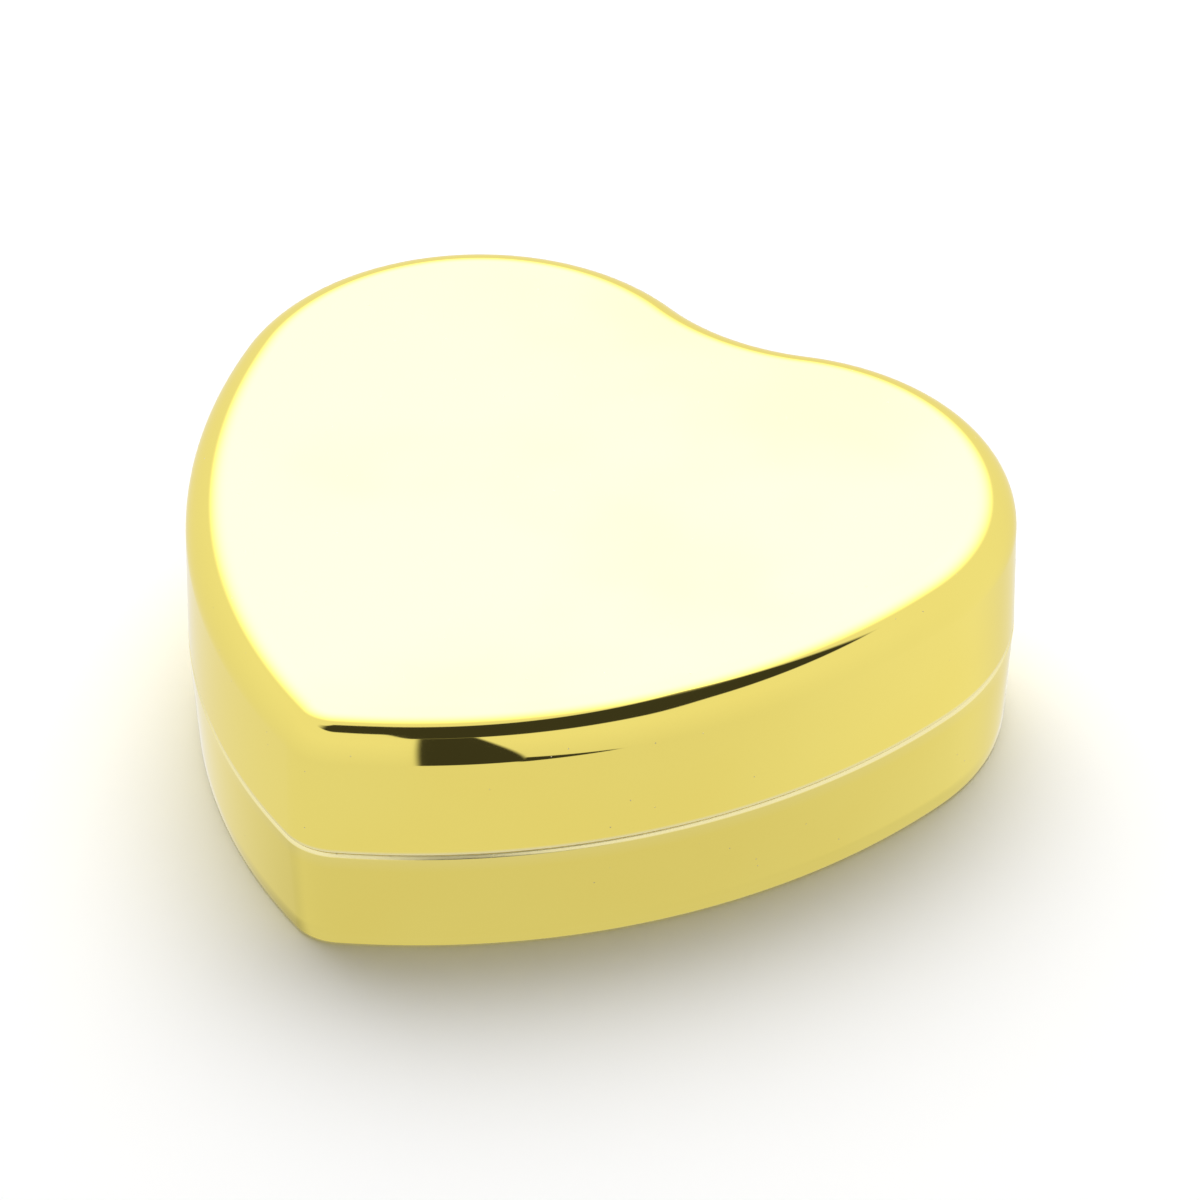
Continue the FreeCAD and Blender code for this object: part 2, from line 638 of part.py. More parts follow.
def make_click_spring():
    """Click: a leaf spring on a riveted foot, its end lying against the ratchet teeth."""
    x = BARREL_X - RATCHET_R - CLICK_GAP
    z0 = BED_Z + RATCHET_LIFT
    z1 = z0 + RATCHET_THICK
    leaf_x = x - CLICK_OFF
    foot = block(leaf_x - CLICK_FOOT, leaf_x, -CLICK_LEN - CLICK_FOOT, -CLICK_LEN + CLICK_LEAF, BED_Z, z1)
    leaf = block(leaf_x - CLICK_LEAF, leaf_x, -CLICK_LEN, CLICK_TIP, z0, z1)
    tip = block(leaf_x - CLICK_LEAF, x, 0.0, CLICK_TIP, z0, z1)
    return at_move(foot.fuse(leaf).fuse(tip).removeSplitter())


def make_winding_key():
    """Butterfly key: a threaded sleeve with two pierced wings."""
    sleeve = cylinder(KEY_SLEEVE_R, KEY_Z1 - KEY_Z0, V(BARREL_X, 0, KEY_Z0))
    wing_h = KEY_Z1 - KEY_WING_DROP - KEY_Z0
    mid_z = KEY_Z0 + wing_h / 2
    wing_r = wing_h / 2
    half = KEY_SPAN / 2
    y0 = -KEY_BLADE / 2
    waist = wing_r * 0.72
    reach = half - wing_r
    wings = block(BARREL_X - reach, BARREL_X + reach, y0, -y0, mid_z - waist, mid_z + waist)
    holes = []
    for side in (-1, 1):
        x = BARREL_X + side * reach
        wings = wings.fuse(cylinder(wing_r, KEY_BLADE, V(x, y0, mid_z), Y_AXIS))
        holes.append(cylinder(wing_r * 0.5, 3 * KEY_BLADE, V(x, 3 * y0, mid_z), Y_AXIS))
    key = sleeve.fuse(wings).removeSplitter()
    for hole in holes:
        key = key.cut(hole)
    return at_move(key.cut(cylinder(ARBOR_R, KEY_Z1, V(BARREL_X, 0, KEY_Z0 + KEY_END))))


def make_cylinder_drum():
    """Brass drum, bored for its arbor."""
    drum = cylinder(DRUM_R, DRUM_LEN, V(DRUM_X0, 0, CYL_AXIS_Z), X_AXIS)
    return at_move(drum.cut(cylinder(CYL_ARBOR_R, DRUM_LEN, V(DRUM_X0, 0, CYL_AXIS_Z), X_AXIS)))


def make_cylinder_pins():
    """Tune pins set in the drum, one row for each tongue of the comb."""
    pins = []
    for note in range(NOTES):
        x = COMB_X0 + TOOTH_GAP + (NOTE_PITCH - TOOTH_GAP) / 2 + note * NOTE_PITCH
        count = 5 + (note * 5) % 3
        for k in range(count):
            a = 2 * math.pi * (k / count + 0.381966 * note)
            out = V(0, math.cos(a), math.sin(a))
            foot = V(x, 0, CYL_AXIS_Z) + out * (DRUM_R - PIN_SINK)
            pins.append(Part.makeCone(PIN_R, PIN_R * 0.8, PIN_SINK + PIN_REACH, foot, out))
    return at_move(Part.makeCompound(pins))


def make_cylinder_crown():
    """Crown wheel on the drum's left end, with a gap facing the great wheel's tooth."""
    root_x = CROWN_X + DRIVE_DED
    outer = CROWN_R + CROWN_FACE / 2
    disc = cylinder(outer, DRUM_X0 - root_x, V(root_x, 0, CYL_AXIS_Z), X_AXIS)
    half = (math.pi * MODULE_DRIVE / 2 - TOOTH_PLAY) / 2
    tip_x = CROWN_X - DRIVE_ADD
    crown = disc
    for i in range(CROWN_TEETH):
        profile = [
            V(root_x + CROWN_ROOT, -half * 1.3, -outer),
            V(tip_x, -half * 0.6, -outer),
            V(tip_x, half * 0.6, -outer),
            V(root_x + CROWN_ROOT, half * 1.3, -outer),
        ]
        tooth = Part.Face(Part.makePolygon(profile + profile[:1])).extrude(V(0, 0, CROWN_FACE))
        tooth.rotate(V(0, 0, 0), X_AXIS, 360.0 * (i + 0.5) / CROWN_TEETH)
        tooth.translate(V(0, 0, CYL_AXIS_Z))
        crown = crown.fuse(tooth)
    return at_move(crown.cut(drill(CYL_ARBOR_R, V(0, 0, CYL_AXIS_Z), X_AXIS)))


def make_cylinder_wheel():
    """Spur wheel on the drum's right end that drives the governor pinion."""
    wheel = gov_disc(CYL_WHEEL_TEETH, GOV_PINION_LEN, TOOTH_PLAY, math.pi / 2)
    wheel = wheel.cut(drill(CYL_ARBOR_R, V(0, 0, 0)))
    return at_move(lay_along_x(wheel, CYL_WHEEL_X0, 0, CYL_AXIS_Z))


def make_cylinder_arbor():
    """Steel arbor that carries the drum between bridge and post."""
    x0 = BRIDGE_X0 - ARBOR_END
    return at_move(cylinder(CYL_ARBOR_R, POST_X1 + ARBOR_END - x0, V(x0, 0, CYL_AXIS_Z), X_AXIS))


def make_governor_wheel():
    """Governor arbor with its pinion and the wheel that turns the worm, in one piece."""
    gap = math.pi / PINION_TEETH
    quarter = math.pi / 2
    pinion = gov_disc(PINION_TEETH, GOV_PINION_LEN, TOOTH_PLAY, gap - quarter)
    wheel = gov_disc(GOV_TEETH, GOV_WHEEL_THICK, TOOTH_PLAY + WORM_PLAY, quarter)
    length = BRACKET_X1 + ARBOR_END - CYL_WHEEL_X0
    shaft = cylinder(GOV_SHAFT_R, length, V(CYL_WHEEL_X0, GOV_Y, CYL_AXIS_Z), X_AXIS)
    body = shaft.fuse(lay_along_x(pinion, CYL_WHEEL_X0, GOV_Y, CYL_AXIS_Z))
    return at_move(body.fuse(lay_along_x(wheel, GOV_WHEEL_X0, GOV_Y, CYL_AXIS_Z)))


def make_worm():
    """Two-start worm on an upright shaft, with the brake disc near its top."""
    core_r = WORM_R - GOV_DED
    foot = BED_Z - PIVOT_DEPTH
    shaft = cylinder(GOV_SHAFT_R, ARM_TOP_Z - PIVOT_CLEAR - foot, V(0, 0, foot))
    body = shaft.fuse(cylinder(core_r, WORM_LEN, V(0, 0, CYL_AXIS_Z - WORM_LEN / 2)))
    body = body.fuse(cylinder(DISC_R, DISC_THICK, V(0, 0, DISC_Z)))
    turns = (WORM_LEN - 2 * WORM_RUNOUT) / WORM_LEAD
    for start in range(WORM_STARTS):
        helix = Part.makeHelix(WORM_LEAD, turns * WORM_LEAD, core_r)
        half = WORM_THREAD
        profile = Part.makePolygon([
            V(core_r - WORM_ROOT, 0, -half),
            V(WORM_R + WORM_ADD, 0, -half * 0.45),
            V(WORM_R + WORM_ADD, 0, half * 0.45),
            V(core_r - WORM_ROOT, 0, half),
            V(core_r - WORM_ROOT, 0, -half),
        ])
        thread = Part.Wire(helix).makePipeShell([profile], True, True)
        thread.translate(V(0, 0, WORM_LOW_Z))
        thread.rotate(V(0, 0, 0), Z_AXIS, WORM_PHASE_DEG + 360.0 * start / WORM_STARTS)
        body = body.fuse(thread)
    body.translate(V(WORM_X, WORM_Y, 0))
    return at_move(body)


WORM_LEAD = WORM_STARTS * math.pi * MODULE_GOV
WORM_LOW_Z = CYL_AXIS_Z - WORM_LEN / 2 + WORM_RUNOUT
WORM_PHASE_DEG = -90 - 360.0 * ((CYL_AXIS_Z + math.pi * MODULE_GOV / 2 - WORM_LOW_Z) / WORM_LEAD % 1.0)


def make_fan():
    """Butterfly air brake: a split hub with two vanes."""
    hub = cylinder(FAN_HUB_R, FAN_H, V(WORM_X, WORM_Y, FAN_Z))
    half = FAN_THICK / 2
    vanes = block(WORM_X - FAN_R, WORM_X + FAN_R, WORM_Y - half, WORM_Y + half, FAN_Z, FAN_Z + FAN_H)
    fan = hub.fuse(vanes).removeSplitter()
    return at_move(fan.cut(drill(GOV_SHAFT_R, V(WORM_X, WORM_Y, 0))))


def make_governor_bracket():
    """Folded bracket that carries the governor arbor, the worm's top and the stop pin."""
    y0 = GOV_Y - BRACKET_MARGIN
    y1 = WORM_Y + STOP_EAR
    foot_x = BRACKET_X0 - BRACKET_FOOT_IN
    ear_z = CYL_AXIS_Z - STOP_EAR_DROP
    wall = block(BRACKET_X0, BRACKET_X1, y0, y1, BED_Z, ARM_TOP_Z)
    arm = block(WORM_X - ARM_HALF, BRACKET_X1, WORM_Y - ARM_HALF, WORM_Y + ARM_HALF, ARM_Z, ARM_TOP_Z)
    foot_y = y0 - BRACKET_FOOT_LEN * 0.65
    foot = block(foot_x, BRACKET_X1, foot_y, foot_y + BRACKET_FOOT_LEN, BED_Z, BED_Z + FOOT_THICK)
    ear = block(STOP_X - STOP_EAR, BRACKET_X1, y1, STOP_Y + STOP_EAR, ear_z, ear_z + STOP_EAR_THICK)
    bracket = wall.fuse(arm).fuse(foot).fuse(ear).removeSplitter()
    bracket = bracket.cut(drill(GOV_SHAFT_R + RUN_GAP, V(0, GOV_Y, CYL_AXIS_Z), X_AXIS))
    bracket = bracket.cut(drill(GOV_SHAFT_R + RUN_GAP, V(WORM_X, WORM_Y, 0)))
    for x, y in FOOT_PLACES:
        bracket = bracket.cut(drill(SCREW_R * SMALL_SCREW, V(x, y, 0)))
    return at_move(bracket.cut(drill(STOP_R + RUN_GAP, V(STOP_X, STOP_Y, 0))))


def make_stop_pin():
    """Stop pin under the lid, with the finger that brakes the governor disc."""
    top = COVER_TOP_Z + STOP_PROUD
    foot = CYL_AXIS_Z - STOP_FOOT_DROP
    pin = cylinder(STOP_R, top - foot, V(STOP_X, STOP_Y, foot))
    half = FINGER_WIDTH / 2
    finger = block(0, FINGER_LEN, -half, half, FINGER_Z, FINGER_Z + FINGER_THICK)
    finger.rotate(V(0, 0, 0), Z_AXIS, FINGER_DEG)
    finger.translate(V(STOP_X, STOP_Y, 0))
    return at_move(pin.fuse(finger))


NODES = {
    "base_shell": make_base_shell,
    "lid_shell": make_lid_shell,
    "hinge_base_knuckles": make_hinge_base_knuckles,
    "hinge_lid_knuckle": make_hinge_lid_knuckle,
    "hinge_pin": make_hinge_pin,
    "lid_lining": make_lid_lining,
    "deck": make_deck,
    "dust_cover": make_dust_cover,
    "bedplate": make_bedplate,
    "movement_screws": make_movement_screws,
    "cylinder_bridge": make_cylinder_bridge,
    "bracket_screws": make_bracket_screws,
    "comb": make_comb,
    "comb_screws": make_comb_screws,
    "barrel": make_barrel,
    "barrel_cap": make_barrel_cap,
    "great_wheel": make_great_wheel,
    "mainspring": make_mainspring,
    "winding_arbor": make_winding_arbor,
    "ratchet_wheel": make_ratchet_wheel,
    "click_spring": make_click_spring,
    "winding_key": make_winding_key,
    "cylinder_drum": make_cylinder_drum,
    "cylinder_pins": make_cylinder_pins,
    "cylinder_crown": make_cylinder_crown,
    "cylinder_wheel": make_cylinder_wheel,
    "cylinder_arbor": make_cylinder_arbor,
    "governor_wheel": make_governor_wheel,
    "worm": make_worm,
    "fan": make_fan,
    "governor_bracket": make_governor_bracket,
    "stop_pin": make_stop_pin,
}


def main():
    """Builds every node and writes it to parts/."""
    os.makedirs("parts", exist_ok=True)
    for name, make in NODES.items():
        shape = make()
        solids = shape.Solids
        whole = solids[0] if len(solids) == 1 else Part.makeCompound(solids)
        whole.exportStep(f"parts/{name}.step")
        box = whole.BoundBox
        print(f"{name}: {len(solids)} solid(s), valid {whole.isValid()}, volume {whole.Volume:.1f},"
              f" z {box.ZMin:.2f}..{box.ZMax:.2f}")


main()
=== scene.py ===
"""Looks for a heart-shaped wind-up music box: polished gold shells over a cylinder movement."""

import logging
import math
from dataclasses import dataclass
from enum import Enum
from functools import cache

import bpy
import numpy as np
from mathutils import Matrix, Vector


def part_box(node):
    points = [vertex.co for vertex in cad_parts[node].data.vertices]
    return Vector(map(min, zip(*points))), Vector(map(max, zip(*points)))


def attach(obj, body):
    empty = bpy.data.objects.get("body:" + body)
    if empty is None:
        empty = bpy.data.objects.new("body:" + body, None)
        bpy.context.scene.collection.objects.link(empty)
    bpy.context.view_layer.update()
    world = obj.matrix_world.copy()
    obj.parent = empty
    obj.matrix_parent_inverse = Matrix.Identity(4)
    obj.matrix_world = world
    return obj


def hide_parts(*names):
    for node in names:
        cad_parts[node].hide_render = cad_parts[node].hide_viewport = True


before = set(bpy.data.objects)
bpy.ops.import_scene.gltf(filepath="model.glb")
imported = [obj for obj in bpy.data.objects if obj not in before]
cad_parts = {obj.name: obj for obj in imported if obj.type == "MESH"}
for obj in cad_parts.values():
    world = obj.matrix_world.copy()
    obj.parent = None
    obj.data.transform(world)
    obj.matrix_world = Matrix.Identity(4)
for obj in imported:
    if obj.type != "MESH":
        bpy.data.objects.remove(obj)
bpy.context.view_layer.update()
LOG = logging.getLogger("music_box")
MM = 0.001
SEAM_HIGHLIGHT_ATTRIBUTE = "painted_seam_highlight"
FLOAT, VECTOR, COLOUR = "NodeSocketFloat", "NodeSocketVector", "NodeSocketColor"
Colour = tuple[float, float, float]
Span = tuple[float, float]


class Slot(Enum):
    """Material slots of the pieces made here."""

    GOLD = "gold"
    FLOCK = "flock"


class Surface(Enum):
    """Kinds of fine relief a finish can carry."""

    HAIRLINES = "hairlines"
    SPECKLE = "speckle"


class NodeSheet:
    """A node tree with short calls for adding, setting and joining nodes."""

    def __init__(self, tree: bpy.types.NodeTree) -> None:
        """Keeps the tree that the calls work on."""
        self.tree = tree

    def add(self, kind: str, **settings: object) -> bpy.types.Node:
        """Adds one node.

        Args:
            kind: The node's Blender type name.
            settings: Attributes to set on it.

        Returns:
            The new node.
        """
        node = self.tree.nodes.new(kind)
        for key, value in settings.items():
            setattr(node, key, value)
        return node

    def product(self, *factors: bpy.types.NodeSocket) -> bpy.types.NodeSocket:
        """Multiplies several values.

        Args:
            factors: The values.

        Returns:
            Their product.
        """
        total = factors[0]
        for factor in factors[1:]:
            total = self.math("MULTIPLY", total, factor)
        return total

    def feed(self, socket: bpy.types.NodeSocket, value: object) -> None:
        """Joins a socket to another, or sets its plain value.

        Args:
            socket: The input to feed.
            value: An output socket, or a value.
        """
        if isinstance(value, bpy.types.NodeSocket):
            self.tree.links.new(value, socket)
        else:
            socket.default_value = value

    def math(self, operation: str, *values: object) -> bpy.types.NodeSocket:
        """Adds a Math node fed with sockets or numbers.

        Args:
            operation: The node's operation.
            values: Its inputs in order.

        Returns:
            The node's result.
        """
        node = self.add("ShaderNodeMath", operation=operation)
        for socket, value in zip(node.inputs, values):
            self.feed(socket, value)
        return node.outputs[0]

    def ramp(
        self,
        value: object,
        low: float,
        high: float,
        out: tuple[object, object] = (0.0, 1.0),
        ease: bool = True,
    ) -> bpy.types.NodeSocket:
        """Maps a value from one span to another and stops at its ends.

        Args:
            value: The input.
            low: Input at which the first end of out is reached.
            high: Input at which the second end is reached.
            out: The two ends.
            ease: Whether the ends are eased, or the slope is straight.

        Returns:
            The mapped value.
        """
        node = self.add("ShaderNodeMapRange", interpolation_type="SMOOTHSTEP" if ease else "LINEAR")
        names = ("Value", "From Min", "From Max", "To Min", "To Max")
        for name, item in zip(names, (value, low, high, *out)):
            self.feed(node.inputs[name], item)
        return node.outputs["Result"]

    def blend(self, factor: object, first: object, second: object) -> bpy.types.NodeSocket:
        """Mixes two colours.

        Args:
            factor: Share of the second colour.
            first: Colour at 0.
            second: Colour at 1.

        Returns:
            The mixed colour.
        """
        node = self.add("ShaderNodeMix", data_type="RGBA")
        for index, item in ((0, factor), (6, first), (7, second)):
            self.feed(node.inputs[index], item)
        return node.outputs[2]


class Effects:
    """Shader node groups shared by the finishes, each made once."""

    DUST_COLOUR = (0.66, 0.60, 0.40, 1.0)
    DUST_ROUGHER = 0.5
    DUST_LESS_METAL = -0.8
    # Pale colour and added roughness of the painted highlight along the seam.
    SEAM_HIGHLIGHT_COLOUR = (0.97, 0.91, 0.62, 1.0)
    SEAM_HIGHLIGHT_ROUGHER = 0.38
    GRAIN_SHARE = 0.7

    @staticmethod
    def _start(
        name: str, inputs: dict[str, str], outputs: dict[str, str]
    ) -> tuple[NodeSheet, dict[str, bpy.types.NodeSocket], bpy.types.Node]:
        """Opens a new group with its sockets.

        Args:
            name: The group's name.
            inputs: Input names and socket types.
            outputs: Output names and socket types.

        Returns:
            The sheet, the input sockets by name and the output node.
        """
        tree = bpy.data.node_groups.new(name, "ShaderNodeTree")
        for side, sockets in (("INPUT", inputs), ("OUTPUT", outputs)):
            for label, kind in sockets.items():
                tree.interface.new_socket(label, in_out=side, socket_type=kind)
        sheet = NodeSheet(tree)
        entry = sheet.add("NodeGroupInput")
        return sheet, {s.name: s for s in entry.outputs}, sheet.add("NodeGroupOutput")

    @classmethod
    @cache
    def handling_marks(cls) -> bpy.types.NodeTree:
        """Cloudy tint and gloss: two noises pick a colour between two and a roughness between two.

        Returns:
            The group.
        """
        name = "handling marks"
        sheet, given, out = cls._start(
            name,
            {
                "Vector": VECTOR,
                "Scale": FLOAT,
                "Low": FLOAT,
                "High": FLOAT,
                "Light": COLOUR,
                "Dark": COLOUR,
            },
            {"Color": COLOUR, "Roughness": FLOAT},
        )
        cloud = sheet.add("ShaderNodeTexNoise")
        smear = sheet.add("ShaderNodeTexNoise")
        for node, times, detail in ((cloud, 0.35, 3.0), (smear, 1.0, 5.0)):
            sheet.feed(node.inputs["Vector"], given["Vector"])
            sheet.feed(node.inputs["Scale"], sheet.math("MULTIPLY", given["Scale"], times))
            node.inputs["Detail"].default_value = detail
        tint = sheet.ramp(cloud.outputs["Fac"], 0.42, 0.68)
        sheet.feed(out.inputs["Color"], sheet.blend(tint, given["Light"], given["Dark"]))
        gloss = sheet.ramp(smear.outputs["Fac"], 0.38, 0.72, (given["Low"], given["High"]))
        sheet.feed(out.inputs["Roughness"], gloss)
        return sheet.tree

    @classmethod
    @cache
    def hairlines(cls) -> bpy.types.NodeTree:
        """Fine polishing lines: noise squeezed along one axis so that it streaks.

        Returns:
            The group.
        """
        name = "hairlines"
        sheet, given, out = cls._start(
            name, {"Vector": VECTOR, "Scale": FLOAT, "Stretch": FLOAT}, {"Height": FLOAT}
        )
        squeeze = sheet.add("ShaderNodeCombineXYZ")
        squeeze.inputs["Y"].default_value = 1.0
        squeeze.inputs["Z"].default_value = 1.0
        sheet.feed(squeeze.inputs["X"], given["Stretch"])
        product = sheet.add("ShaderNodeVectorMath", operation="MULTIPLY")
        sheet.feed(product.inputs[0], given["Vector"])
        sheet.feed(product.inputs[1], squeeze.outputs[0])
        noise = sheet.add("ShaderNodeTexNoise")
        sheet.feed(noise.inputs["Vector"], product.outputs[0])
        sheet.feed(noise.inputs["Scale"], given["Scale"])
        noise.inputs["Detail"].default_value = 2.0
        sheet.feed(out.inputs["Height"], noise.outputs["Fac"])
        return sheet.tree

    @classmethod
    @cache
    def speckle(cls) -> bpy.types.NodeTree:
        """Short fibres or cast grain: fine noise on top of small cells.

        Returns:
            The group.
        """
        name = "speckle"
        sheet, given, out = cls._start(
            name, {"Vector": VECTOR, "Scale": FLOAT, "Stretch": FLOAT}, {"Height": FLOAT}
        )
        cells = sheet.add("ShaderNodeTexVoronoi")
        noise = sheet.add("ShaderNodeTexNoise")
        for node in (cells, noise):
            sheet.feed(node.inputs["Vector"], given["Vector"])
        sheet.feed(cells.inputs["Scale"], given["Scale"])
        sheet.feed(noise.inputs["Scale"], sheet.math("MULTIPLY", given["Scale"], given["Stretch"]))
        rise = sheet.math("MULTIPLY_ADD", noise.outputs["Fac"], cls.GRAIN_SHARE, cells.outputs["Distance"])
        sheet.feed(out.inputs["Height"], rise)
        return sheet.tree

    @classmethod
    @cache
    def settled_dust(cls) -> bpy.types.NodeTree:
        """Sparse pale specks: the middles of a quarter of the cells of a fine cell pattern.

        Returns:
            The group.
        """
        name = "settled dust"
        sheet, given, out = cls._start(
            name,
            {"Vector": VECTOR, "Scale": FLOAT, "Color": COLOUR, "Roughness": FLOAT},
            {"Color": COLOUR, "Roughness": FLOAT, "Metallic": FLOAT},
        )
        cells = sheet.add("ShaderNodeTexVoronoi")
        sheet.feed(cells.inputs["Vector"], given["Vector"])
        sheet.feed(cells.inputs["Scale"], given["Scale"])
        pick = sheet.add("ShaderNodeSeparateColor")
        sheet.feed(pick.inputs[0], cells.outputs["Color"])
        speck = sheet.ramp(cells.outputs["Distance"], 0.065, 0.03)
        speck = sheet.product(speck, sheet.ramp(pick.outputs[0], 0.72, 0.76))
        sheet.feed(out.inputs["Color"], sheet.blend(speck, given["Color"], cls.DUST_COLOUR))
        gloss = sheet.math("MULTIPLY_ADD", speck, cls.DUST_ROUGHER, given["Roughness"])
        sheet.feed(out.inputs["Roughness"], gloss)
        sheet.feed(out.inputs["Metallic"], sheet.math("MULTIPLY_ADD", speck, cls.DUST_LESS_METAL, 1.0))
        return sheet.tree

    @classmethod
    @cache
    def painted_seam_highlight(cls) -> bpy.types.NodeTree:
        """Painted highlight along the seam: paler, duller metal where the mesh's band says so, standing for
        the bright line of light on the seam edge.

        Returns:
            The group.
        """
        name = "painted seam highlight"
        sheet, given, out = cls._start(
            name,
            {"Seam Highlight": FLOAT, "Color": COLOUR, "Roughness": FLOAT},
            {"Color": COLOUR, "Roughness": FLOAT},
        )
        sheet.feed(out.inputs["Color"], sheet.blend(given["Seam Highlight"], given["Color"], cls.SEAM_HIGHLIGHT_COLOUR))
        gloss = sheet.math("MULTIPLY_ADD", given["Seam Highlight"], cls.SEAM_HIGHLIGHT_ROUGHER, given["Roughness"])
        sheet.feed(out.inputs["Roughness"], gloss)
        return sheet.tree


@dataclass(frozen=True)
class Finish:
    """One material: two close colours, a span of gloss and a fine relief."""

    name: str
    light: Colour
    dark: Colour
    metallic: float
    rough: tuple[float, float]
    mark_scale: float
    surface: Surface
    relief_scale: float
    relief_stretch: float
    relief_mm: float
    sheen: float = 0.0
    transmission: float = 0.0
    ior: float = 1.45
    specular: float = 0.5
    specular_tint: Colour = (1.0, 1.0, 1.0)
    dust_scale: float = 0.0
    has_seam_highlight: bool = False

    def material(self) -> bpy.types.Material:
        """Builds the material once and returns it after that."""
        if self.name in bpy.data.materials:
            return bpy.data.materials[self.name]
        material = bpy.data.materials.new(self.name)
        material.use_nodes = True
        material.diffuse_color = (*self.light, 1.0)
        sheet = NodeSheet(material.node_tree)
        shader = material.node_tree.nodes["Principled BSDF"]
        place = sheet.add("ShaderNodeTexCoord").outputs["Object"]
        marks = sheet.add("ShaderNodeGroup", node_tree=Effects.handling_marks())
        given = {
            "Vector": place,
            "Scale": self.mark_scale,
            "Low": self.rough[0],
            "High": self.rough[1],
            "Light": (*self.light, 1.0),
            "Dark": (*self.dark, 1.0),
        }
        for key, value in given.items():
            sheet.feed(marks.inputs[key], value)
        look = marks.outputs
        shader.inputs["Metallic"].default_value = self.metallic
        # Painted highlight: a pale, duller band along the seam, where the mesh attribute marks it.
        if self.has_seam_highlight:
            highlight_band = sheet.add("ShaderNodeGroup", node_tree=Effects.painted_seam_highlight())
            highlight_share = sheet.add("ShaderNodeAttribute", attribute_name=SEAM_HIGHLIGHT_ATTRIBUTE).outputs["Fac"]
            given = {"Seam Highlight": highlight_share, "Color": look["Color"], "Roughness": look["Roughness"]}
            for key, value in given.items():
                sheet.feed(highlight_band.inputs[key], value)
            look = highlight_band.outputs
        if self.dust_scale:
            dust = sheet.add("ShaderNodeGroup", node_tree=Effects.settled_dust())
            given = {
                "Vector": place,
                "Scale": self.dust_scale,
                "Color": look["Color"],
                "Roughness": look["Roughness"],
            }
            for key, value in given.items():
                sheet.feed(dust.inputs[key], value)
            look = dust.outputs
            sheet.feed(shader.inputs["Metallic"], look["Metallic"])
        sheet.feed(shader.inputs["Base Color"], look["Color"])
        sheet.feed(shader.inputs["Roughness"], look["Roughness"])
        relief = Effects.hairlines() if self.surface is Surface.HAIRLINES else Effects.speckle()
        lines = sheet.add("ShaderNodeGroup", node_tree=relief)
        given = {"Vector": place, "Scale": self.relief_scale, "Stretch": self.relief_stretch}
        for key, value in given.items():
            sheet.feed(lines.inputs[key], value)
        bump = sheet.add("ShaderNodeBump")
        bump.inputs["Distance"].default_value = self.relief_mm * MM
        sheet.feed(bump.inputs["Height"], lines.outputs["Height"])
        sheet.feed(shader.inputs["Normal"], bump.outputs["Normal"])
        shader.inputs["Specular IOR Level"].default_value = self.specular
        shader.inputs["Specular Tint"].default_value = (*self.specular_tint, 1.0)
        shader.inputs["IOR"].default_value = self.ior
        shader.inputs["Sheen Weight"].default_value = self.sheen
        shader.inputs["Transmission Weight"].default_value = self.transmission
        return material


@dataclass(frozen=True)
class Finishes:
    """The finishes of the box, from the case inwards."""

    # The gold carries the painted highlight band along the seam.
    gold: Finish = Finish(
        "polished_gold_plate", (0.86, 0.73, 0.185), (0.85, 0.705, 0.165), 1.0, (0.025, 0.06),
        60.0, Surface.HAIRLINES, 900.0, 0.08, 0.0002, specular_tint=(1.0, 0.96, 0.78),
        dust_scale=650.0, has_seam_highlight=True,
    )
    well_gold: Finish = Finish(
        "satin_gold_wash", (0.80, 0.66, 0.20), (0.74, 0.59, 0.16), 1.0, (0.22, 0.34),
        90.0, Surface.SPECKLE, 2600.0, 3.0, 0.004,
    )
    flock: Finish = Finish(
        "wine_flock", (0.26, 0.018, 0.035), (0.205, 0.013, 0.027), 0.0, (0.85, 1.0),
        90.0, Surface.SPECKLE, 8000.0, 2.5, 0.05, sheen=0.3,
    )
    clear: Finish = Finish(
        "clear_acrylic", (0.97, 0.98, 0.985), (0.95, 0.965, 0.97), 0.0, (0.01, 0.035),
        45.0, Surface.HAIRLINES, 700.0, 0.1, 0.0002, transmission=0.98, ior=1.49,
    )
    bed: Finish = Finish(
        "satin_die_casting", (0.72, 0.70, 0.65), (0.60, 0.58, 0.54), 1.0, (0.28, 0.46),
        120.0, Surface.SPECKLE, 3000.0, 2.0, 0.012,
    )
    steel: Finish = Finish(
        "ground_steel", (0.66, 0.64, 0.59), (0.54, 0.52, 0.48), 1.0, (0.18, 0.34),
        150.0, Surface.HAIRLINES, 2600.0, 0.05, 0.004,
    )
    blue_steel: Finish = Finish(
        "blued_spring_steel", (0.20, 0.24, 0.38), (0.13, 0.14, 0.22), 1.0, (0.2, 0.36),
        160.0, Surface.HAIRLINES, 2200.0, 0.05, 0.004,
    )
    brass: Finish = Finish(
        "turned_brass", (0.80, 0.60, 0.25), (0.66, 0.46, 0.16), 1.0, (0.16, 0.32),
        140.0, Surface.HAIRLINES, 3000.0, 0.04, 0.004,
    )
    fan: Finish = Finish(
        "moulded_ivory_plastic", (0.83, 0.80, 0.72), (0.74, 0.70, 0.61), 0.0, (0.4, 0.6),
        180.0, Surface.SPECKLE, 5000.0, 2.0, 0.006,
    )
    screw: Finish = Finish(
        "nickel_plate", (0.74, 0.72, 0.68), (0.62, 0.60, 0.56), 1.0, (0.12, 0.26),
        200.0, Surface.HAIRLINES, 3200.0, 0.2, 0.003,
    )


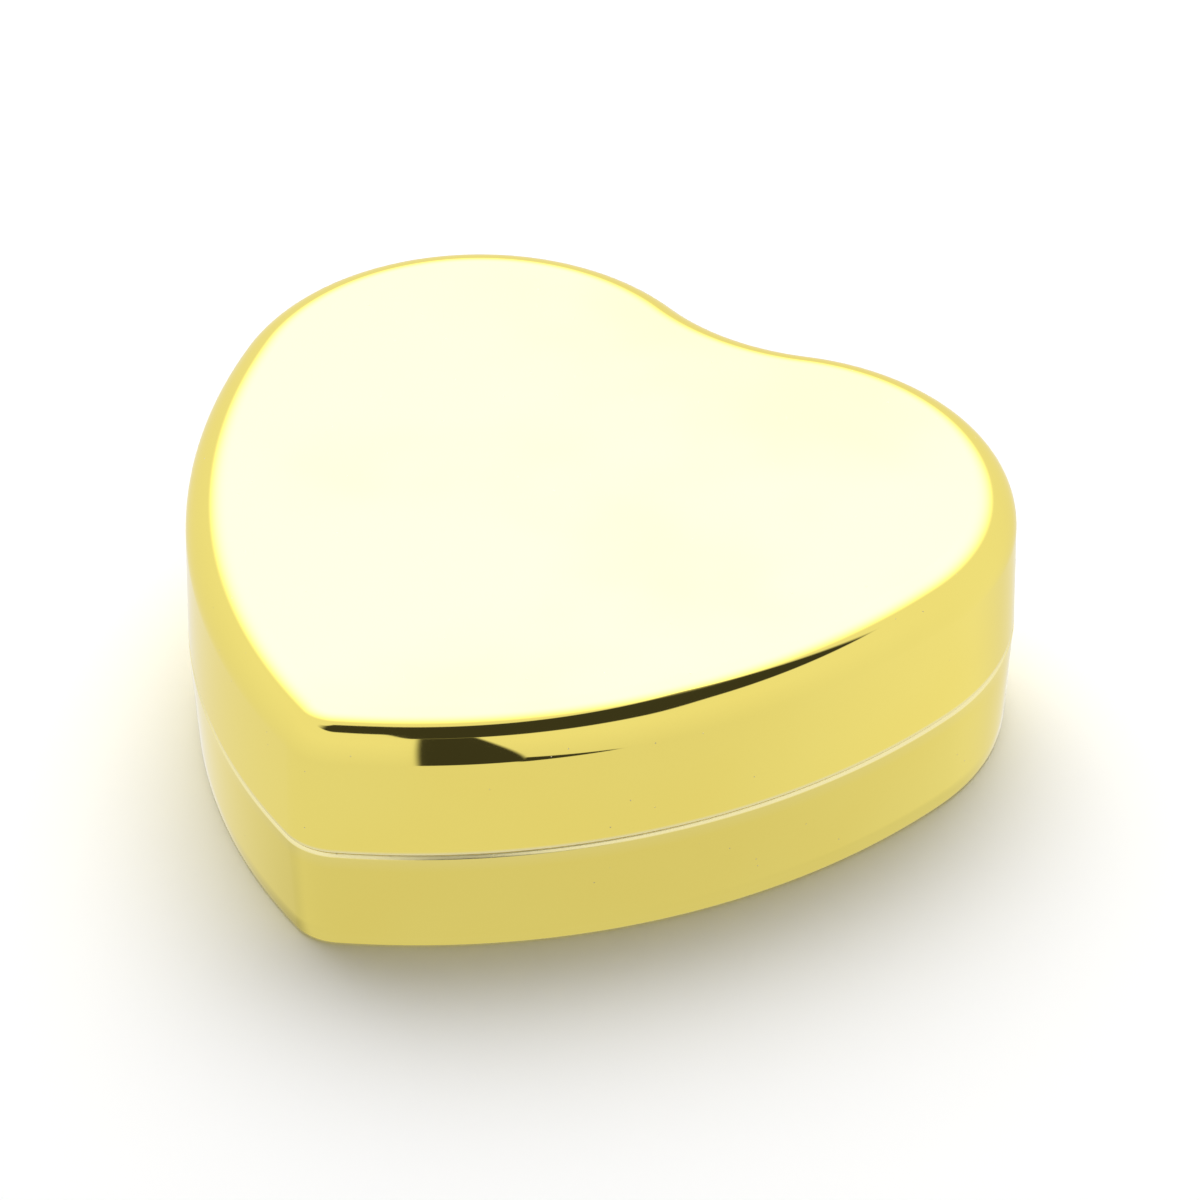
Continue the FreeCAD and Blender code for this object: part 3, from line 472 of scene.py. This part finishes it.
@dataclass(frozen=True)
class HeartOutline:
    """The case outline: tip, side, lobe and cleft arcs that meet tangent, in metres."""

    width: float
    lobe: float = 27.4 * MM
    cleft: float = 24.3 * MM
    side: float = 76.4 * MM
    side_deg: float = -10.7
    tip: float = 6.65 * MM
    hinge_reach: float = 1.75 * MM
    steps: int = 240
    least_steps: int = 14

    def trace(self) -> tuple[np.ndarray, np.ndarray]:
        """Points and outward normals, anticlockwise from the tip.

        Each arc is its centre plus radius times the direction at evenly spaced angles; the arcs share
        the steps by length, and the left half is the right half mirrored in x.

        Returns:
            Two arrays of shape (n, 2).
        """
        lobe_x = self.width / 2 - self.lobe
        cleft_y = math.sqrt((self.lobe + self.cleft) ** 2 - lobe_x**2)
        a = math.radians(self.side_deg)
        side_x = lobe_x - (self.side - self.lobe) * math.cos(a)
        side_y = -(self.side - self.lobe) * math.sin(a)
        tip_y = side_y - math.sqrt((self.side - self.tip) ** 2 - side_x**2)
        to_tip = math.atan2(tip_y - side_y, -side_x)
        to_cleft = math.atan2(cleft_y, -lobe_x)
        down = -math.pi / 2
        arcs = [
            (0.0, tip_y, self.tip, down, to_tip, 1.0),
            (side_x, side_y, self.side, to_tip, a, 1.0),
            (lobe_x, 0.0, self.lobe, a, to_cleft, 1.0),
            (0.0, cleft_y, self.cleft, to_cleft - math.pi, down, -1.0),
        ]
        whole = sum(abs(r * (a1 - a0)) for _, _, r, a0, a1, _ in arcs)
        points, normals = [], []
        for cx, cy, r, a0, a1, sign in arcs:
            count = max(self.least_steps, round(self.steps * abs(r * (a1 - a0)) / whole))
            t = np.linspace(a0, a1, count, endpoint=False)
            ray = np.stack([np.cos(t), np.sin(t)], 1)
            points.append(np.array([cx, cy]) + r * ray)
            normals.append(sign * ray)
        points.append(np.array([[0.0, cleft_y - self.cleft]]))
        normals.append(np.array([[0.0, 1.0]]))
        right, out = np.concatenate(points), np.concatenate(normals)
        flip = np.array([-1.0, 1.0])
        ring = np.concatenate([right, right[-2:0:-1] * flip])
        facing = np.concatenate([out, out[-2:0:-1] * flip])
        back = self.lobe + self.hinge_reach
        ring[:, 1] -= (back + tip_y - self.tip) / 2
        return ring, facing


SHEET_SHRINK = (0.35, 0.7, 0.94)
HIGHLIGHT_BAND_WIDTH = 0.2 * MM
HIGHLIGHT_BAND_DEPTH = 0.5 * MM


def corner(inset: float, z: float, radius: float, start: float, end: float, count: int) -> np.ndarray:
    """Rounded corner of a wall profile: a circle's arc about a point.

    Args:
        inset: Centre's distance inside the outline.
        z: Centre's height.
        radius: The arc's radius.
        start: First angle in degrees, 0 pointing outwards and 90 up.
        end: Last angle in degrees.
        count: How many points.

    Returns:
        Rows of inset and height.
    """
    t = np.radians(np.linspace(start, end, count))
    return np.stack([inset - radius * np.cos(t), z + radius * np.sin(t)], 1)


def heart_surface(
    name: str,
    outline: HeartOutline,
    profile: np.ndarray,
    finish: Finish,
    inner: Finish,
    inner_rows: int,
    seam_z: float,
) -> bpy.types.Object:
    """Closed surface of a wall profile carried round the heart.

    A point is the outline's point moved in by the profile's inset, at the profile's height. At both ends
    the rows shrink towards one middle point, which closes the surface with a flat sheet.

    Args:
        name: The object's name.
        outline: The heart.
        profile: Rows of inset and height, from the lower or inner sheet to the last sheet.
        finish: The finish it gets.
        inner: The finish of the first sheet and the first rows.
        inner_rows: How many rows of the profile have the inner finish.
        seam_z: Height of its outer edge at the seam, where a bell-shaped band of painted highlight is laid.

    Returns:
        The new object.
    """
    ring, facing = outline.trace()
    count = len(ring)
    inset, z = profile[:, 0], profile[:, 1]
    flat = ring[None] - facing[None] * inset[:, None, None]
    rows = np.concatenate([flat, np.broadcast_to(z[:, None, None], (len(z), count, 1))], 2)
    sheets = len(SHEET_SHRINK)
    shrink = np.array(SHEET_SHRINK)[:, None, None]
    scale = np.concatenate([np.broadcast_to(shrink, (sheets, 1, 2)), np.ones((sheets, 1, 1))], 2)
    rows = np.concatenate([rows[:1] * scale, rows, (rows[-1:] * scale)[::-1]])
    poles = np.array([[0.0, 0.0, z[0]], [0.0, 0.0, z[-1]]])
    verts = np.concatenate([rows.reshape(-1, 3), poles])
    grid = np.arange(len(rows) * count).reshape(len(rows), count)
    nxt = np.roll(grid, -1, 1)
    quads = np.stack([grid[:-1], nxt[:-1], nxt[1:], grid[1:]], -1).reshape(-1, 4)
    first, last = len(verts) - 2, len(verts) - 1
    low = np.stack([np.full(count, first), nxt[0], grid[0]], -1)
    high = np.stack([np.full(count, last), grid[-1], nxt[-1]], -1)
    mesh = bpy.data.meshes.new(name)
    mesh.from_pydata(verts.tolist(), [], quads.tolist() + low.tolist() + high.tolist())
    mesh.polygons.foreach_set("use_smooth", np.ones(len(mesh.polygons), bool))
    for look in (finish, inner):
        mesh.materials.append(look.material())
    inside = np.zeros(len(mesh.polygons), np.int32)
    inside[: (inner_rows + sheets - 1) * count] = 1
    inside[len(quads) : len(quads) + count] = 1
    mesh.polygons.foreach_set("material_index", inside)
    # Painted highlight: a pale bell-shaped band along the seam on the outer rows, standing for the bright
    # line of light on the seam edge.
    highlight_share = np.exp(-(((verts[:, 2] - seam_z) / HIGHLIGHT_BAND_WIDTH) ** 2))
    outer = np.concatenate([np.zeros(sheets), inset < HIGHLIGHT_BAND_DEPTH, np.zeros(sheets)]).repeat(count)
    highlight_band = mesh.attributes.new(SEAM_HIGHLIGHT_ATTRIBUTE, "FLOAT", "POINT")
    highlight_band.data.foreach_set("value", highlight_share * np.concatenate([outer, np.zeros(len(poles))]))
    mesh.update()
    piece = bpy.data.objects.new(name, mesh)
    bpy.context.scene.collection.objects.link(piece)
    return piece


def dress(node: str, finish: Finish) -> None:
    """Gives a CAD node its finish.

    Args:
        node: The node's name.
        finish: The finish.
    """
    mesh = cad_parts[node].data
    mesh.materials.clear()
    mesh.materials.append(finish.material())
    LOG.info("dressed %s in %s", node, finish.name)


@dataclass
class LidShell:
    """Upper shell with its broad rounded edge, its lining and its hinge knuckle."""

    outline: HeartOutline
    looks: Finishes
    foot: float
    height: float
    edge: float = 4.6 * MM
    wall: float = 1.4 * MM
    lip: float = 0.12 * MM
    weld: float = 0.02 * MM

    def profile(self) -> np.ndarray:
        """Inner ceiling, inner wall, rim, outer wall and top edge, in that order.

        Returns:
            Rows of inset and height.
        """
        inner = self.edge - self.wall
        ceiling = self.height - self.wall
        shoulder = self.height - self.edge
        z = np.linspace(self.foot + 4 * self.lip, shoulder - self.weld, 6)
        return np.concatenate([
            corner(self.edge, ceiling - inner, inner, 90.0, 0.0, 16),
            [[self.wall, self.foot + 4 * self.lip]],
            corner(self.wall - self.lip, self.foot + self.lip, -self.lip, 0.0, 90.0, 5),
            corner(self.lip, self.foot + self.lip, self.lip, -90.0, 0.0, 5),
            np.stack([np.zeros(len(z)), z], 1),
            corner(self.edge, shoulder, self.edge, 0.0, 90.0, 48),
            [[self.edge + self.weld, self.height]],
        ])

    def build(self) -> None:
        """Makes the shell and dresses what rides with it."""
        gold = self.looks.gold
        # The lid's band of painted highlight lies at its foot, along the seam.
        shell = heart_surface("lid_heart", self.outline, self.profile(), gold, gold, 0, self.foot)
        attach(shell, "lid")
        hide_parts("lid_shell")
        LOG.info("made lid_heart")
        dress("hinge_lid_knuckle", self.looks.gold)
        dress("lid_lining", self.looks.flock)


@dataclass
class BaseShell:
    """Lower shell: leaning wall, rim chamfer with a band of painted highlight, deck ledge and the well for
    the key.
    """

    outline: HeartOutline
    looks: Finishes
    rim: float
    chamfer: float = 0.2 * MM
    chamfer_drop: float = 0.35 * MM
    taper: float = 0.9 * MM
    wall: float = 1.6 * MM
    ledge: float = 1.4 * MM
    ledge_z: float = 11.3 * MM
    floor_z: float = 8.2 * MM
    under_z: float = 7.0 * MM
    foot: float = 0.5 * MM
    lip: float = 0.06 * MM
    sheet_step: float = 0.3 * MM
    well_rows: int = 5

    def profile(self) -> np.ndarray:
        """Underside, well wall, foot, outer wall, rim and pocket, in that order.

        Returns:
            Rows of inset and height.
        """
        well = self.taper + self.wall
        brow = self.rim - self.chamfer_drop
        slope = self.taper / brow
        bevel = np.array([0.1, 0.9])
        z = np.linspace(1.2 * self.foot, brow - 2 * self.lip, 8)
        wall = np.stack([np.maximum(self.taper - slope * z, 0.0), z], 1)
        return np.concatenate([
            [[well + self.sheet_step, self.under_z], [well + 2 * self.lip, self.under_z]],
            [[well, self.under_z - 2 * self.lip]],
            [[well, self.foot], [well, 2 * self.lip], [well - 2 * self.lip, 0.0]],
            corner(self.taper + self.foot, self.foot, self.foot, -90.0, -4.0, 10),
            wall,
            [[0.0, brow - self.lip / 2]],
            np.stack([self.chamfer * bevel, brow + self.chamfer_drop * bevel], 1),
            [[self.chamfer + self.lip / 2, self.rim], [self.wall - self.lip, self.rim]],
            [[self.wall, self.rim - self.lip], [self.wall, self.ledge_z + self.lip]],
            [[self.wall + self.lip, self.ledge_z]],
            [[self.wall + self.ledge, self.ledge_z], [self.wall + self.ledge, self.floor_z]],
        ])

    def build(self) -> None:
        """Makes the shell and dresses what is fixed to it."""
        shell = heart_surface(
            "base_heart",
            self.outline,
            self.profile(),
            self.looks.gold,
            self.looks.well_gold,
            self.well_rows,
            # Middle of the rim chamfer, where the band of painted highlight lies.
            self.rim - self.chamfer_drop / 2,
        )
        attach(shell, "case")
        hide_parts("base_shell")
        LOG.info("made base_heart")
        for node in ("hinge_base_knuckles", "hinge_pin"):
            dress(node, self.looks.gold)


@dataclass
class Deck:
    """Flocked board that fills the base round the movement's clear cover."""

    outline: HeartOutline
    looks: Finishes
    margin: float = 1.8 * MM
    flange: float = 2.0 * MM
    nap_gap: float = 0.03 * MM
    lip: float = 0.12 * MM
    steps: int = 720
    rings: int = 20
    top_span: Span = (0.01, 0.98)
    under_shares: Span = (0.66, 0.33)
    least_ray: float = 1e-9

    def edges(self) -> tuple[np.ndarray, np.ndarray]:
        """Outer and window edge, seen from the window's middle at evenly spaced angles.

        The outer edge is the heart moved in by the margin, as a distance that follows the angle; the window
        is a rectangle, whose distance is the nearer of its two sides.

        Returns:
            Two arrays of shape (steps, 2).
        """
        low, high = (np.array(v)[:2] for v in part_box("dust_cover"))
        middle, half = (low + high) / 2, (high - low) / 2 - self.flange
        ring, facing = self.outline.trace()
        heart = ring - facing * self.margin - middle
        angle = np.linspace(-math.pi, math.pi, self.steps, endpoint=False)
        turn = np.arctan2(heart[:, 1], heart[:, 0])
        far = np.hypot(heart[:, 0], heart[:, 1])
        reach = np.interp(angle, turn, far, period=2 * math.pi)
        ray = np.stack([np.cos(angle), np.sin(angle)], 1)
        window = np.min(half / np.maximum(np.abs(ray), self.least_ray), axis=1)
        return middle + ray * reach[:, None], middle + ray * window[:, None]

    def build(self) -> None:
        """Makes the board as rings between the two edges, closed round its section, and dresses its cover."""
        low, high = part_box("deck")
        bottom, top = low.z, high.z - self.nap_gap
        outer, inner = self.edges()
        across = np.linspace(*self.top_span, self.rings)
        share = np.concatenate([[0.0, 0.0], across, [1.0, 1.0], self.under_shares])
        level = np.full(len(share), top)
        level[[1, -4]] = top - self.lip
        level[[0, -3, -2, -1]] = bottom
        flat = outer[None] + (inner - outer)[None] * share[:, None, None]
        rows = np.concatenate([flat, np.broadcast_to(level[:, None, None], (*flat.shape[:2], 1))], 2)
        grid = np.arange(len(share) * self.steps).reshape(len(share), self.steps)
        nxt, above = np.roll(grid, -1, 1), np.roll(grid, -1, 0)
        quads = np.stack([grid, nxt, np.roll(above, -1, 1), above], -1).reshape(-1, 4)
        mesh = bpy.data.meshes.new("flocked_deck")
        mesh.from_pydata(rows.reshape(-1, 3).tolist(), [], quads.tolist())
        mesh.polygons.foreach_set("use_smooth", np.ones(len(quads), bool))
        mesh.materials.append(self.looks.flock.material())
        mesh.update()
        board = bpy.data.objects.new("flocked_deck", mesh)
        bpy.context.scene.collection.objects.link(board)
        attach(board, "case")
        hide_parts("deck")
        LOG.info("made flocked_deck")
        dress("dust_cover", self.looks.clear)


@dataclass
class Movement:
    """The wind-up movement and its key, finished piece by piece."""

    looks: Finishes

    def build(self) -> None:
        """Dresses every node of the movement."""
        looks = self.looks
        plan = {
            "bedplate": looks.bed,
            "movement_screws": looks.screw,
            "cylinder_bridge": looks.steel,
            "bracket_screws": looks.screw,
            "comb": looks.steel,
            "comb_screws": looks.screw,
            "barrel": looks.brass,
            "barrel_cap": looks.brass,
            "great_wheel": looks.brass,
            "mainspring": looks.blue_steel,
            "winding_arbor": looks.steel,
            "ratchet_wheel": looks.steel,
            "click_spring": looks.blue_steel,
            "winding_key": looks.gold,
            "cylinder_drum": looks.brass,
            "cylinder_pins": looks.steel,
            "cylinder_crown": looks.brass,
            "cylinder_wheel": looks.brass,
            "cylinder_arbor": looks.steel,
            "governor_wheel": looks.steel,
            "worm": looks.steel,
            "fan": looks.fan,
            "governor_bracket": looks.steel,
            "stop_pin": looks.steel,
        }
        for node, finish in plan.items():
            dress(node, finish)


def direction(bearing: float, rise: float) -> Vector:
    """Unit vector towards a place in the studio.

    Args:
        bearing: Degrees from the front towards the right.
        rise: Degrees above the floor.

    Returns:
        The vector.
    """
    a, e = math.radians(bearing), math.radians(rise)
    return Vector((math.sin(a) * math.cos(e), -math.cos(a) * math.cos(e), math.sin(e)))


@dataclass(frozen=True)
class Opening:
    """Dark opening of the tent towards the camera: a wide gap, a post under it and a wedge at its foot.

    Heights and bearings are in degrees. A pair is the span over which an edge fades in, or a line's slope and
    start where its name ends in line.
    """

    soft: Span = (-1.0, 1.0)
    gap_foot: float = 39.5
    gap_step: float = 10.5
    gap_step_at: Span = (31.0, 25.0)
    gap_lift: float = 4.0
    gap_lift_at: Span = (70.0, 85.0)
    gap_top: float = 70.5
    gap_droop: float = -14.0
    gap_droop_at: Span = (20.0, -32.0)
    gap_left: Span = (-34.0, -4.0)
    gap_right: Span = (121.0, 115.0)
    post_left: Span = (31.0, 32.5)
    post_right_line: Span = (-0.1045, 46.1)
    post_soft: Span = (0.0, 1.2)
    post_top: Span = (41.0, 39.0)
    post_foot: Span = (-34.5, -33.0)
    wedge_line: Span = (-0.69, 10.8)
    wedge_soft: Span = (0.0, 1.5)
    wedge_left: Span = (47.0, 48.5)
    wedge_right: Span = (66.0, 62.0)
    wedge_foot: Span = (-35.5, -34.5)

    def mask(
        self, sheet: NodeSheet, bearing: bpy.types.NodeSocket, rise: bpy.types.NodeSocket
    ) -> bpy.types.NodeSocket:
        """Where the opening is.

        Args:
            sheet: The world's nodes.
            bearing: Direction looked in, in degrees from the front towards the right.
            rise: Its height in degrees.

        Returns:
            1 in the opening, 0 elsewhere.
        """
        stair = sheet.ramp(bearing, *self.gap_step_at)
        step = sheet.math("MULTIPLY_ADD", stair, self.gap_step, self.gap_foot)
        lower = sheet.math("MULTIPLY_ADD", sheet.ramp(bearing, *self.gap_lift_at), self.gap_lift, step)
        droop = sheet.ramp(bearing, *self.gap_droop_at)
        upper = sheet.math("MULTIPLY_ADD", droop, self.gap_droop, self.gap_top)
        gap = sheet.product(
            sheet.ramp(sheet.math("SUBTRACT", rise, lower), *self.soft),
            sheet.ramp(sheet.math("SUBTRACT", upper, rise), *self.soft),
            sheet.ramp(bearing, *self.gap_left),
            sheet.ramp(bearing, *self.gap_right),
        )
        edge = sheet.math("MULTIPLY_ADD", rise, *self.post_right_line)
        post = sheet.product(
            sheet.ramp(bearing, *self.post_left),
            sheet.ramp(sheet.math("SUBTRACT", edge, bearing), *self.post_soft),
            sheet.ramp(rise, *self.post_top),
            sheet.ramp(rise, *self.post_foot),
        )
        brow = sheet.math("MULTIPLY_ADD", bearing, *self.wedge_line)
        wedge = sheet.product(
            sheet.ramp(sheet.math("SUBTRACT", brow, rise), *self.wedge_soft),
            sheet.ramp(bearing, *self.wedge_left),
            sheet.ramp(bearing, *self.wedge_right),
            sheet.ramp(rise, *self.wedge_foot),
        )
        return sheet.math("MAXIMUM", gap, sheet.math("MAXIMUM", post, wedge))


@dataclass
class Studio:
    """Pale floor, one softbox, a white tent with a dark opening, and the camera."""

    azimuth: float = 32.7
    elevation: float = 36.6
    distance: float = 1.1351
    lens: float = 320.8
    target: tuple[float, float, float] = (0.0, -0.000875, 0.01344)
    aim_right: float = 0.006954
    aim_up: float = 0.002983
    ambient: float = 0.25
    lamp_watts: float = 60.0
    lamp_rise: float = 58.0
    lamp_distance: float = 1.3
    lamp_size: float = 2.7
    lamp_rim: float = 0.5
    lamp_plateau: float = 0.15
    floor_radius: float = 3.0
    ground_near: Colour = (0.80, 0.80, 0.80)
    ground_left: Colour = (0.52, 0.52, 0.52)
    ground_far: Colour = (0.90, 0.90, 0.90)
    ground_right: Colour = (1.0, 1.0, 1.0)
    white: Colour = (1.0, 1.0, 1.0)
    gap: Colour = (0.05, 0.05, 0.05)
    opening: Opening = Opening()
    right_in: Span = (70.0, 135.0)
    right_out: Span = (180.0, 140.0)
    left_in: Span = (-45.0, -100.0)
    left_out: Span = (-180.0, -140.0)
    near_to_far: Span = (-47.0, -38.0)
    ground_to_white: Span = (-37.0, 25.0)
    sensor: float = 36.0
    near_clip: float = 0.01
    floor_steps: int = 96
    floor_drop: float = 0.0001

    def camera(self) -> None:
        """Places the camera on its bearing and aims it so that the box sits where it is seen."""
        a = math.radians(self.azimuth)
        back = direction(self.azimuth, self.elevation)
        right = Vector((math.cos(a), math.sin(a), 0.0))
        up = back.cross(right)
        place = Vector(self.target) + back * self.distance
        aim = Vector(self.target) + right * self.aim_right + up * self.aim_up
        lens = bpy.data.cameras.new("camera")
        lens.lens = self.lens
        lens.sensor_width = self.sensor
        lens.clip_start = self.near_clip
        eye = bpy.data.objects.new("camera", lens)
        eye.location = place
        eye.rotation_euler = (aim - place).to_track_quat("-Z", "Y").to_euler()
        bpy.context.scene.collection.objects.link(eye)
        bpy.context.scene.camera = eye

    def floor(self) -> None:
        """Pale floor: a disc whose points are radius times direction on a ring, closed at its middle."""
        count = self.floor_steps
        t = np.linspace(0.0, 2 * math.pi, count, endpoint=False)
        ring = self.floor_radius * np.stack([np.cos(t), np.sin(t), np.zeros(count)], 1)
        ring[:, 2] = -self.floor_drop
        steps = np.arange(count)
        mesh = bpy.data.meshes.new("floor")
        faces = np.stack([np.full(count, count), steps, np.roll(steps, -1)], -1)
        mesh.from_pydata(np.concatenate([ring, [[0.0, 0.0, -self.floor_drop]]]).tolist(), [], faces.tolist())
        paper = Finish(
            "pale_paper_sweep", (0.95, 0.95, 0.95), (0.94, 0.94, 0.94), 0.0, (0.9, 1.0),
            3.0, Surface.SPECKLE, 900.0, 2.0, 0.002, specular=0.0,
        )
        mesh.materials.append(paper.material())
        sheet = bpy.data.objects.new("floor", mesh)
        bpy.context.scene.collection.objects.link(sheet)
        sheet.visible_glossy = False

    def lamps(self) -> None:
        """One broad white softbox behind and over the box, which the polished lid shows.

        It is brightest in its middle and fades to its rim, as the cloth of a softbox does.
        """
        light = bpy.data.lights.new("softbox", "AREA")
        light.shape = "DISK"
        light.size = self.lamp_size
        light.energy = self.lamp_watts
        light.use_nodes = True
        sheet = NodeSheet(light.node_tree)
        reach = sheet.add("ShaderNodeVectorMath", operation="DISTANCE")
        sheet.feed(reach.inputs[0], sheet.add("ShaderNodeNewGeometry").outputs["Parametric"])
        reach.inputs[1].default_value = (0.5, 0.5, 0.0)
        glow = light.node_tree.nodes["Emission"]
        fade = sheet.ramp(reach.outputs["Value"], self.lamp_rim, self.lamp_plateau)
        sheet.feed(glow.inputs["Strength"], fade)
        lamp = bpy.data.objects.new("softbox", light)
        lamp.location = direction(self.azimuth + 180.0, self.lamp_rise) * self.lamp_distance
        lamp.rotation_euler = (-lamp.location).to_track_quat("-Z", "Y").to_euler()
        lamp.visible_camera = False
        bpy.context.scene.collection.objects.link(lamp)

    def world(self) -> None:
        """White tent: even light for matt surfaces; polished ones see its ground, white and opening."""
        scene_world = bpy.data.worlds.new("tent")
        scene_world.use_nodes = True
        bpy.context.scene.world = scene_world
        sheet = NodeSheet(scene_world.node_tree)
        background = scene_world.node_tree.nodes["Background"]
        way = sheet.add("ShaderNodeTexCoord").outputs["Generated"]
        parts = sheet.add("ShaderNodeSeparateXYZ")
        sheet.feed(parts.inputs[0], way)
        x, y, z = parts.outputs
        bearing = sheet.math("DEGREES", sheet.math("ARCTAN2", x, sheet.math("MULTIPLY", y, -1.0)))
        rise = sheet.math("DEGREES", sheet.math("ARCSINE", z))
        path = sheet.add("ShaderNodeLightPath").outputs
        plain = (self.ambient, self.ambient, self.ambient, 1.0)
        tent = self.tent(sheet, bearing, rise)
        tent = sheet.blend(self.opening.mask(sheet, bearing, rise), tent, (*self.gap, 1.0))
        seen = sheet.blend(path["Is Glossy Ray"], plain, tent)
        direct = sheet.math("MAXIMUM", path["Is Camera Ray"], path["Is Transmission Ray"])
        sheet.feed(background.inputs["Color"], sheet.blend(direct, seen, (1.0, 1.0, 1.0, 1.0)))
        background.inputs["Strength"].default_value = 1.0

    def tent(
        self, sheet: NodeSheet, bearing: bpy.types.NodeSocket, rise: bpy.types.NodeSocket
    ) -> bpy.types.NodeSocket:
        """Colour of the tent: neutral, from a pale ground up to white.

        Args:
            sheet: The world's nodes.
            bearing: Bearing looked in, in degrees from the front towards the right.
            rise: Its height in degrees.

        Returns:
            The colour.
        """
        right = sheet.product(sheet.ramp(bearing, *self.right_in), sheet.ramp(bearing, *self.right_out))
        left = sheet.product(sheet.ramp(bearing, *self.left_in), sheet.ramp(bearing, *self.left_out))
        far = sheet.blend(right, (*self.ground_far, 1.0), (*self.ground_right, 1.0))
        near = sheet.blend(left, (*self.ground_near, 1.0), (*self.ground_left, 1.0))
        ground = sheet.blend(sheet.ramp(rise, *self.near_to_far), near, far)
        climb = sheet.ramp(rise, *self.ground_to_white, ease=False)
        return sheet.blend(climb, ground, (*self.white, 1.0))

    def build(self) -> None:
        """Sets up the whole studio."""
        bpy.context.scene.view_settings.view_transform = "Standard"
        self.camera()
        self.floor()
        self.lamps()
        self.world()
        LOG.info("made the studio")


def main() -> None:
    """Builds the studio and the box in order."""
    logging.basicConfig(level=logging.INFO, format="%(message)s")
    lid_low, lid_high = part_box("lid_shell")
    outline = HeartOutline(width=lid_high.x - lid_low.x)
    looks = Finishes()
    Studio().build()
    LidShell(outline, looks, foot=lid_low.z, height=lid_high.z).build()
    BaseShell(outline, looks, rim=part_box("base_shell")[1].z).build()
    Deck(outline, looks).build()
    Movement(looks).build()


if __name__ == "__main__":
    main()
